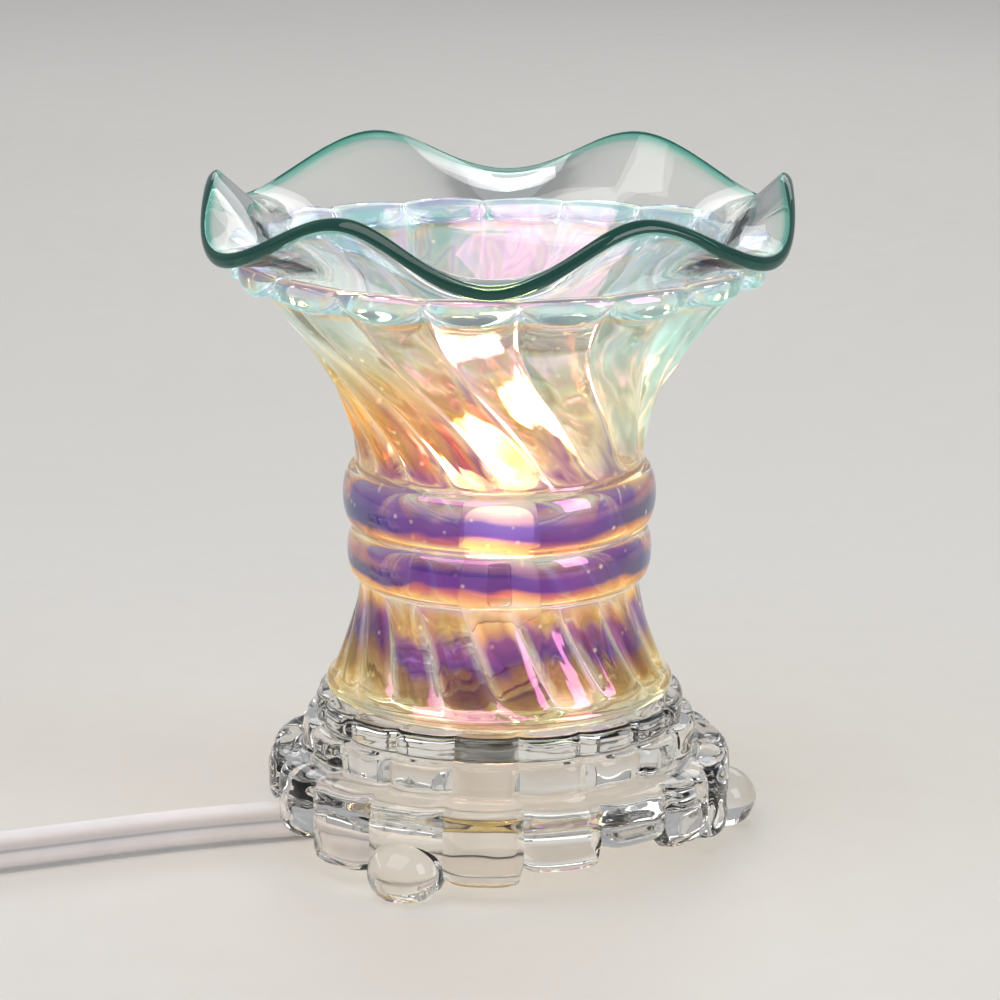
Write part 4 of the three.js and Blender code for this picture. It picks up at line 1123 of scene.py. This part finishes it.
def cloudy_glass(name, roughness, ripple_scale, ripple_depth, shadow_tint, cloud_scale, colours):
    material, tree, shader, place = pressed_glass(name, roughness, ripple_scale, ripple_depth, shadow_tint)
    feed(tree, shader, {"Base Color": add_ramp(tree, add_noise(tree, place, cloud_scale), colours)})
    return material


CLEAR_GLASS = cloudy_glass(
    "clear_block_glass", 0.02, 75.0, 0.0007, (0.74, 0.75, 0.73), 40.0,
    [(0.3, (0.955, 0.95, 0.93)), (0.7, (0.985, 0.98, 0.965))])
SEAL_GLASS = cloudy_glass(
    "seal_glass", 0.35, 300.0, 0.0003, (0.9, 0.9, 0.88), 350.0,
    [(0.35, (0.8, 0.81, 0.8)), (0.65, (0.96, 0.96, 0.94))])
print("made", CLEAR_GLASS.name, SEAL_GLASS.name)

# %% [markdown]
# The lustre is a thin metal film on the glass. Its colours run in bands with the height: gold and purple on the bell,
# deep blue on the rings, gold again in the funnel and teal at the petals. A film thickness alone gives one colour at a
# time, so two ramps hold the bands: what the film lets through, and a painted glow, as if the lit lamp lit the glass
# from within. The shade is no lamp, so that glow is painted light.

# %% Bands of the lustre
LUSTRE_BANDS = [
    (0.0, (0.72, 0.94, 0.9)), (0.03, (1.0, 0.8, 0.36)), (0.065, (0.34, 0.17, 0.012)), (0.115, (0.26, 0.08, 0.02)),
    (0.14, (0.035, 0.008, 0.2)), (0.185, (0.18, 0.025, 0.26)), (0.215, (0.8, 0.3, 0.04)), (0.25, (0.9, 0.7, 0.3)),
    (0.262, (0.8, 0.9, 0.8)), (0.276, (0.9, 0.6, 0.16)), (0.292, (0.8, 0.24, 0.06)), (0.305, (0.004, 0.003, 0.11)),
    (0.335, (0.008, 0.007, 0.2)), (0.36, (0.5, 0.22, 0.48)), (0.378, (0.82, 0.88, 0.76)), (0.392, (0.92, 0.64, 0.16)),
    (0.408, (0.82, 0.26, 0.06)), (0.423, (0.004, 0.003, 0.11)), (0.455, (0.008, 0.008, 0.21)),
    (0.485, (0.52, 0.27, 0.54)), (0.505, (0.8, 0.84, 0.72)), (0.522, (0.84, 0.8, 0.5)), (0.54, (0.24, 0.04, 0.2)),
    (0.58, (0.4, 0.09, 0.01)), (0.68, (0.56, 0.22, 0.02)), (0.76, (0.72, 0.54, 0.2)), (0.84, (0.74, 0.86, 0.74)),
    (0.915, (0.7, 0.86, 0.82)), (0.93, (0.95, 0.5, 0.14)), (0.943, (0.2, 0.66, 0.68)), (0.972, (0.5, 0.86, 0.9)),
    (1.0, (0.54, 0.38, 0.86)),
]
# Painted light: the glow given to the shade band by band, as if the lamp lit its glass from within.
PAINTED_LAMP_GLOW = [
    (0.0, (0.12, 0.16, 0.13)), (0.03, (0.8, 0.56, 0.2)), (0.07, (0.34, 0.2, 0.03)), (0.13, (0.05, 0.0, 0.1)),
    (0.2, (0.16, 0.04, 0.1)), (0.24, (0.7, 0.42, 0.1)), (0.262, (0.5, 0.48, 0.34)), (0.276, (0.9, 0.5, 0.08)),
    (0.292, (0.5, 0.12, 0.02)), (0.305, (0.03, 0.015, 0.34)), (0.36, (0.16, 0.08, 0.2)), (0.378, (0.5, 0.48, 0.36)),
    (0.392, (0.9, 0.52, 0.1)), (0.408, (0.5, 0.12, 0.02)), (0.423, (0.03, 0.015, 0.34)), (0.5, (0.2, 0.16, 0.2)),
    (0.53, (0.8, 0.5, 0.2)), (0.6, (0.7, 0.38, 0.08)), (0.7, (0.5, 0.34, 0.1)), (0.8, (0.2, 0.2, 0.14)),
    (0.915, (0.12, 0.14, 0.12)), (0.93, (0.6, 0.3, 0.06)), (0.943, (0.1, 0.42, 0.44)), (0.97, (0.5, 0.66, 0.7)),
    (1.0, (0.3, 0.2, 0.45)),
]
PAINTED_MOUTH_SHIMMER = [
    (0.36, (0.4, 0.78, 0.82)), (0.45, (0.94, 0.96, 0.94)), (0.52, (0.72, 0.62, 0.94)), (0.58, (0.95, 0.94, 0.9)),
    (0.66, (0.95, 0.66, 0.8)),
]
# Painted light: a teal side and its glow, pale highlights in the grooves and gold glints.
PAINTED_SIDE_TEAL = (0.36, 0.8, 0.74, 1.0)
PAINTED_SIDE_TEAL_GLOW = (0.4, 0.62, 0.54, 1.0)
PAINTED_GROOVE_HIGHLIGHT = (0.95, 0.95, 0.86, 1.0)
CLEAR_INSIDE = (0.97, 0.96, 0.94, 1.0)
PAINTED_GOLD_GLINT = (1.0, 0.86, 0.55, 1.0)
UNLIT = (0.0, 0.0, 0.0, 1.0)
print("bands", len(LUSTRE_BANDS), "and", len(PAINTED_LAMP_GLOW))

# %% [markdown]
# On the real shade no band is straight: it wanders in streaks along the flutes and in swirls on the rings, and each
# flute is a little different. The grooves get a painted highlight: they are painted pale. The right of the funnel is
# painted teal, a painted light effect fixed to that side; the mouth gets painted shimmer inside, and tiny seeds in the
# glass get painted gold glints. The film is only on the outer face, so the inside is nearly clear.

# %% Lustre glass
BAND_WANDER = 0.007
BAND_DRIFT = 0.0022
BAND_RAISE = 0.0035


def lustre_level(tree, place, height, fluted, crinkle):
    """The height up the shade as a share, after its shifts."""
    swirl = add_noise(tree, place, 48.0, 1.5, 0.8)
    wander = add_math(tree, "MULTIPLY_ADD", add_mix(tree, fluted, swirl, crinkle), BAND_WANDER, height)
    drifted = add_math(tree, "MULTIPLY_ADD", add_mark(tree, "drift"), BAND_DRIFT, wander)
    return add_span(tree, drifted, SHADE_FOOT * MM + BAND_RAISE, (SHADE_FOOT + SHADE_HEIGHT) * MM + BAND_RAISE)


def lustre_colour(tree, level, crinkle, painted_side_teal):
    bands = add_mix(tree, painted_side_teal, add_ramp(tree, level, LUSTRE_BANDS), PAINTED_SIDE_TEAL, "RGBA")
    # Painted highlight: the grooves are painted pale, as bright lines of light.
    groove = add_span(tree, add_mark(tree, "flute"), 0.62, 1.0, 0.0, 0.85)
    outside = add_mix(tree, groove, bands, PAINTED_GROOVE_HIGHLIGHT, "RGBA")
    # Painted shimmer: coloured streaks inside the mouth stand for the film's reflections.
    mouth = add_span(tree, level, 0.7, 0.88)
    inside = add_mix(tree, mouth, CLEAR_INSIDE, add_ramp(tree, crinkle, PAINTED_MOUTH_SHIMMER), "RGBA")
    return add_mix(tree, add_mark(tree, "inside"), outside, inside, "RGBA")


# Painted light: the shade is no lamp, yet it glows, brightest along the flutes next to the grooves.
def painted_lamp_glow(tree, place, level, fluted, streaks, painted_side_teal):
    glow = add_mix(tree, painted_side_teal, add_ramp(tree, level, PAINTED_LAMP_GLOW), PAINTED_SIDE_TEAL_GLOW, "RGBA")
    ridge = add_math(tree, "MULTIPLY_ADD", add_mark(tree, "flute"), 0.22, streaks)
    lit = add_mix(tree, fluted, 0.45, add_span(tree, ridge, 0.5, 0.78, 0.08))
    # Painted glints: tiny gold sparks glow on seeds in the glass.
    seeds = add_node(tree, "TexVoronoi", {"Vector": place, "Scale": 330.0}).outputs["Distance"]
    patchy = add_span(tree, add_noise(tree, place, 120.0), 0.47, 0.6)
    painted_glints = add_math(tree, "MULTIPLY", add_span(tree, seeds, 0.19, 0.09), patchy)
    return add_mix(tree, painted_glints, add_mix(tree, lit, UNLIT, glow, "RGBA"), PAINTED_GOLD_GLINT, "RGBA")


def lustre_glass():
    material, tree, shader, place = new_material("lustre_glass")
    split = add_node(tree, "SeparateXYZ", {"Vector": place}).outputs
    fluted = add_mark(tree, "fluted")
    crinkle = add_noise(tree, add_mark(tree, "flow", "Vector"), 0.8, 1.0, 0.6)
    streaks = add_mix(tree, fluted, 0.5, crinkle)
    level = lustre_level(tree, place, split["Z"], fluted, crinkle)
    # Painted light: the funnel turns teal towards its right-hand side, a colour that the light gave that side.
    right = add_math(tree, "MULTIPLY", add_span(tree, split["X"], 0.003, 0.031, 0.0, 0.85), fluted)
    painted_side_teal = add_math(tree, "MULTIPLY", right, add_span(tree, level, 0.5, 0.58))
    # The emission below is painted glow from the lamp, not a lamp of its own.
    feed(tree, shader, {
        **GLASS, "Thin Film Thickness": 420.0, "Thin Film IOR": 1.9,
        "Roughness": add_span(tree, fluted, 0.0, 1.0, 0.03, 0.09),
        "Normal": add_bump(tree, streaks, 0.2, 0.0012),
        "Base Color": lustre_colour(tree, level, crinkle, painted_side_teal),
        "Emission Color": painted_lamp_glow(tree, place, level, fluted, streaks, painted_side_teal), "Emission Strength": 0.4,
    })
    let_light_through(tree, shader, (0.85, 0.72, 0.62))
    return material


LUSTRE_GLASS = lustre_glass()
print(LUSTRE_GLASS.name, len(LUSTRE_GLASS.node_tree.nodes), "nodes")

# %% [markdown]
# The dish is clear, with the green of thick glass where one looks along the wall at its edge. Absorption would give
# that too, but it needs a very dense mesh at the lip, so a ramp on the edge mark does it. A faint green glow on the
# edge is painted light, so that the edge reads dark green and not black. The lamp's glass is lit from within:
# white-gold beside the wire, amber towards the ends.

# %% Dish and lamp glass
DISH_COLOURS = [
    (0.0, (0.97, 0.985, 0.975)), (0.92, (0.95, 0.98, 0.965)), (0.972, (0.76, 0.89, 0.84)), (0.992, (0.12, 0.4, 0.33)),
]
PAINTED_EDGE_GLOW = [(0.965, (0.0, 0.0, 0.0)), (0.995, (0.003, 0.048, 0.037))]
LAMP_SPAN = (0.067, 0.089)
LAMP_LIGHT = [
    (0.0, (0.16, 0.06, 0.01)), (0.25, (0.7, 0.36, 0.1)), (0.48, (1.0, 0.82, 0.55)), (0.66, (1.0, 0.82, 0.55)),
    (0.88, (0.6, 0.3, 0.08)), (1.0, (0.3, 0.13, 0.03)),
]

DISH_GLASS, tree, shader, place = pressed_glass("dish_glass", 0.015, 60.0, 0.0005, (0.86, 0.9, 0.88))
rim = add_mark(tree, "rim")
# Painted light: a faint green glow on the edge of the dish lifts it out of black.
feed(tree, shader, {
    "Base Color": add_ramp(tree, rim, DISH_COLOURS),
    "Emission Color": add_ramp(tree, rim, PAINTED_EDGE_GLOW), "Emission Strength": 1.0,
})

LAMP_GLASS, tree, shader, place = pressed_glass("lamp_glass", 0.08, 200.0, 0.0002, (1.0, 0.97, 0.9))
height = add_span(tree, add_node(tree, "SeparateXYZ", {"Vector": place}).outputs["Z"], *LAMP_SPAN)
feed(tree, shader, {
    "Base Color": (1.0, 0.96, 0.88, 1.0),
    "Emission Color": add_ramp(tree, height, LAMP_LIGHT), "Emission Strength": 6.0,
})
print("made", DISH_GLASS.name, LAMP_GLASS.name)

# %% [markdown]
# The other finishes are everyday ones: glazed white ceramic, plated steel and brass, moulded plastic and black rubber.
# A single colour would look like a drawing, so each varies a little, with an uneven shine and a fine grain.


# %% Everyday finishes
def everyday(name, colours, roughness, metallic=0.0, grain=(300.0, 0.3, 0.0002), colour_scale=80.0):
    material, tree, shader, place = new_material(name)
    marks = use_group(tree, MARKS, place, {"Scale": 90.0, "Low": roughness[0], "High": roughness[1]})
    ripple = use_group(tree, RIPPLE, place, {"Scale": grain[0], "Grain": 0.5})
    clouds = add_noise(tree, place, colour_scale, 5.0)
    feed(tree, shader, {
        "Base Color": add_ramp(tree, clouds, [(0.3, colours[0]), (0.7, colours[1])]),
        "Metallic": metallic, "Roughness": marks, "Normal": add_bump(tree, ripple, *grain[1:]),
    })
    return material, tree, shader


WHITE_CERAMIC = everyday("white_ceramic", ((0.86, 0.85, 0.81), (0.92, 0.91, 0.88)), (0.12, 0.22))[0]
WHITE_METAL = everyday("white_metal", ((0.85, 0.84, 0.8), (0.91, 0.9, 0.87)), (0.25, 0.4))[0]
STEEL = everyday("plated_steel", ((0.6, 0.61, 0.62), (0.72, 0.73, 0.74)), (0.2, 0.38), 1.0)[0]
BRASS = everyday("bright_brass", ((0.72, 0.53, 0.22), (0.83, 0.66, 0.33)), (0.18, 0.35), 1.0)[0]
RUBBER = everyday("black_rubber", ((0.025, 0.025, 0.028), (0.045, 0.045, 0.05)), (0.55, 0.75))[0]
WHITE_PLASTIC = everyday("white_plastic", ((0.8, 0.79, 0.76), (0.86, 0.85, 0.83)), (0.3, 0.45))[0]
GREY_PLASTIC = everyday("grey_plastic", ((0.6, 0.59, 0.57), (0.67, 0.66, 0.65)), (0.4, 0.55))[0]
print("finishes", len(bpy.data.materials))

# %% [markdown]
# Vinyl is milky, so light goes a little way into it, which a small subsurface share shows. On the twin lead, copper
# shows faintly in the two cores, and the groove between them is painted darker, as painted shade. The lamp's wire
# glows.

# %% Vinyl and glowing wire
VINYL_GRAIN = (400.0, 0.2, 0.0001)
CORE_COPPER_AND_GROOVE_SHADE = [
    (0.0, (0.58, 0.55, 0.56)), (0.14, (0.86, 0.84, 0.84)), (0.5, (0.96, 0.9, 0.86)), (0.85, (1.0, 0.99, 1.0)),
]


def vinyl(name, colours, roughness):
    material, tree, shader = everyday(name, colours, roughness, grain=VINYL_GRAIN)
    feed(tree, shader, {"Subsurface Weight": 0.25, "Subsurface Radius": (0.002, 0.002, 0.002)})
    return material, tree, shader


VINYL = vinyl("milky_vinyl", ((0.72, 0.7, 0.73), (0.82, 0.8, 0.82)), (0.28, 0.42))[0]
CORD_VINYL, tree, shader = vinyl("cord_vinyl", ((0.72, 0.7, 0.72), (0.8, 0.78, 0.79)), (0.25, 0.4))
plain = shader.inputs["Base Color"].links[0].from_socket
# Copper tint in the cores, and painted shade that darkens the groove between them.
depth = add_ramp(tree, add_math(tree, "ABSOLUTE", add_mark(tree, "core")), CORE_COPPER_AND_GROOVE_SHADE)
feed(tree, shader, {"Base Color": add_mix(tree, 1.0, plain, depth, "RGBA", "MULTIPLY")})

GLOWING_WIRE, tree, shader = everyday("glowing_wire", ((0.5, 0.45, 0.4), (0.6, 0.55, 0.5)), (0.4, 0.5), 1.0)
feed(tree, shader, {"Emission Color": (1.0, 0.75, 0.42, 1.0), "Emission Strength": 30.0})
print("made", VINYL.name, CORD_VINYL.name, GLOWING_WIRE.name)

# %% [markdown]
# Each piece now gets its finish and the body that it moves with, and the solids that it stands for are hidden. One
# table says all of this, with a slot name for each piece that nothing here reads, so that a missing piece is easy to
# spot. The thin pins, supports and leads of the solid model have the right shape already, and only get a finish.

# %% Dress the pieces
WARDROBE = {
    "lustre_shade": (LUSTRE_GLASS, "shade", "lustre_glass", "glass_shade"),
    "ruffled_dish": (DISH_GLASS, "dish", "dish_glass", "oil_dish"),
    "block_base": (CLEAR_GLASS, "base", "clear_glass", "glass_base"),
    "near_cord": (CORD_VINYL, "base", "clear_vinyl", "cord_near"),
    "far_cord": (CORD_VINYL, "base", "clear_vinyl", "cord_coil", "cord_tail"),
    "rubber_pad": (RUBBER, "base", "black_rubber", "rubber_washer"),
    "lower_plate": (STEEL, "base", "steel", "lower_washer"),
    "upper_plate": (STEEL, "base", "steel", "upper_washer"),
    "lower_brass_nut": (BRASS, "base", "brass", "lower_nut"),
    "upper_brass_nut": (BRASS, "base", "brass", "upper_nut"),
    "threaded_tube": (STEEL, "base", "steel", "threaded_nipple"),
    "lamp_cup": (WHITE_METAL, "base", "white_metal", "holder_cup"),
    "lamp_holder": (WHITE_CERAMIC, "base", "white_ceramic", "holder_body"),
    "clamp_screw": (STEEL, "base", "steel", "holder_screw"),
    "left_contact": (BRASS, "base", "brass", "contact_left"),
    "right_contact": (BRASS, "base", "brass", "contact_right"),
    "elbow_cap": (WHITE_PLASTIC, "base", "white_plastic", "cord_elbow"),
    "dimmer_tray": (GREY_PLASTIC, "base", "grey_plastic", "dimmer_lower_shell"),
    "dimmer_lid": (WHITE_PLASTIC, "base", "white_plastic", "dimmer_upper_shell"),
    "near_screw": (STEEL, "base", "steel", "dimmer_screw_near"),
    "far_screw": (STEEL, "base", "steel", "dimmer_screw_far"),
    "thumb_wheel": (WHITE_PLASTIC, "wheel", "white_plastic", "dimmer_wheel"),
    "coil_strap": (RUBBER, "base", "black_rubber", "coil_tie"),
    "plug_grip": (WHITE_PLASTIC, "base", "white_plastic", "plug_body"),
    "left_blade": (BRASS, "base", "brass", "plug_blade_left"),
    "right_blade": (BRASS, "base", "brass", "plug_blade_right"),
    "lamp_capsule": (LAMP_GLASS, "lamp", "bulb_glass", "bulb_envelope"),
    "lamp_seal": (SEAL_GLASS, "lamp", "bulb_glass", "bulb_pinch"),
    "glow_wire": (GLOWING_WIRE, "lamp", "tungsten", "filament"),
}
NODE_FINISH = {"lead_left": VINYL, "lead_right": VINYL}


def give_finish(piece, material):
    piece.data.materials.clear()
    piece.data.materials.append(material)


for name, (material, body, slot, *stands_for) in WARDROBE.items():
    piece = bpy.data.objects[name]
    give_finish(piece, material)
    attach(piece, body)
    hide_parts(*stands_for)
for node_name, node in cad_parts.items():
    give_finish(node, NODE_FINISH.get(node_name, STEEL))
print("dressed", len(WARDROBE), "pieces")

# %% [markdown]
# A lead is a fixed length of something flexible, in two stretches with things on them: the dimmer's parts on the
# first, and the strap and the plug on the second. Here only the number of points along each stretch is printed.


print("points along the cords", len(near_line), len(far_line))

# %% [markdown]
# The burner is shown on a plain pale table in soft studio light: a wide softbox above, a fill from the right and a
# long strip behind, which draws the edges of the glass. A sun would be simpler, but its small hard highlights don't
# show the form of glass.

# %% Table and lights
TABLE_SIZE = 40.0
TABLE_LEVEL = -0.0004
TABLE_COLOURS = ((0.66, 0.64, 0.61), (0.69, 0.67, 0.64))
LIGHT_TARGET = Vector((0.0, 0.0, 0.06))
SOFTBOXES = [
    ("top_softbox", (-0.4, -0.5, 1.2), (1.3, 1.3), 11.5, (1.0, 0.98, 0.95)),
    ("right_fill", (1.0, -0.6, 0.6), (0.5, 0.8), 5.0, (0.95, 0.97, 1.0)),
    ("back_strip", (0.2, 1.0, 0.7), (1.2, 0.5), 3.0, (1.0, 1.0, 1.0)),
]

table = fresh("pale_table", bpy.ops.mesh.primitive_plane_add, size=TABLE_SIZE, location=(0.0, 0.0, TABLE_LEVEL))
table.data.materials.append(everyday("pale_table", TABLE_COLOURS, (0.45, 0.6), colour_scale=3.0)[0])

for name, location, size, power, colour in SOFTBOXES:
    light = fresh(name, bpy.ops.object.light_add, type="AREA", location=location)
    light.data.shape = "RECTANGLE"
    light.data.size, light.data.size_y = size
    light.data.energy = power
    light.data.color = colour
    aim(light, LIGHT_TARGET - Vector(location))

world = bpy.data.worlds.new("studio")
bpy.context.scene.world = world
world.use_nodes = True
feed(world.node_tree, world.node_tree.nodes["Background"], {"Color": (0.85, 0.87, 0.9, 1.0), "Strength": 0.45})
bpy.context.scene.view_settings.view_transform = "Standard"
print("lights", [row[0] for row in SOFTBOXES])
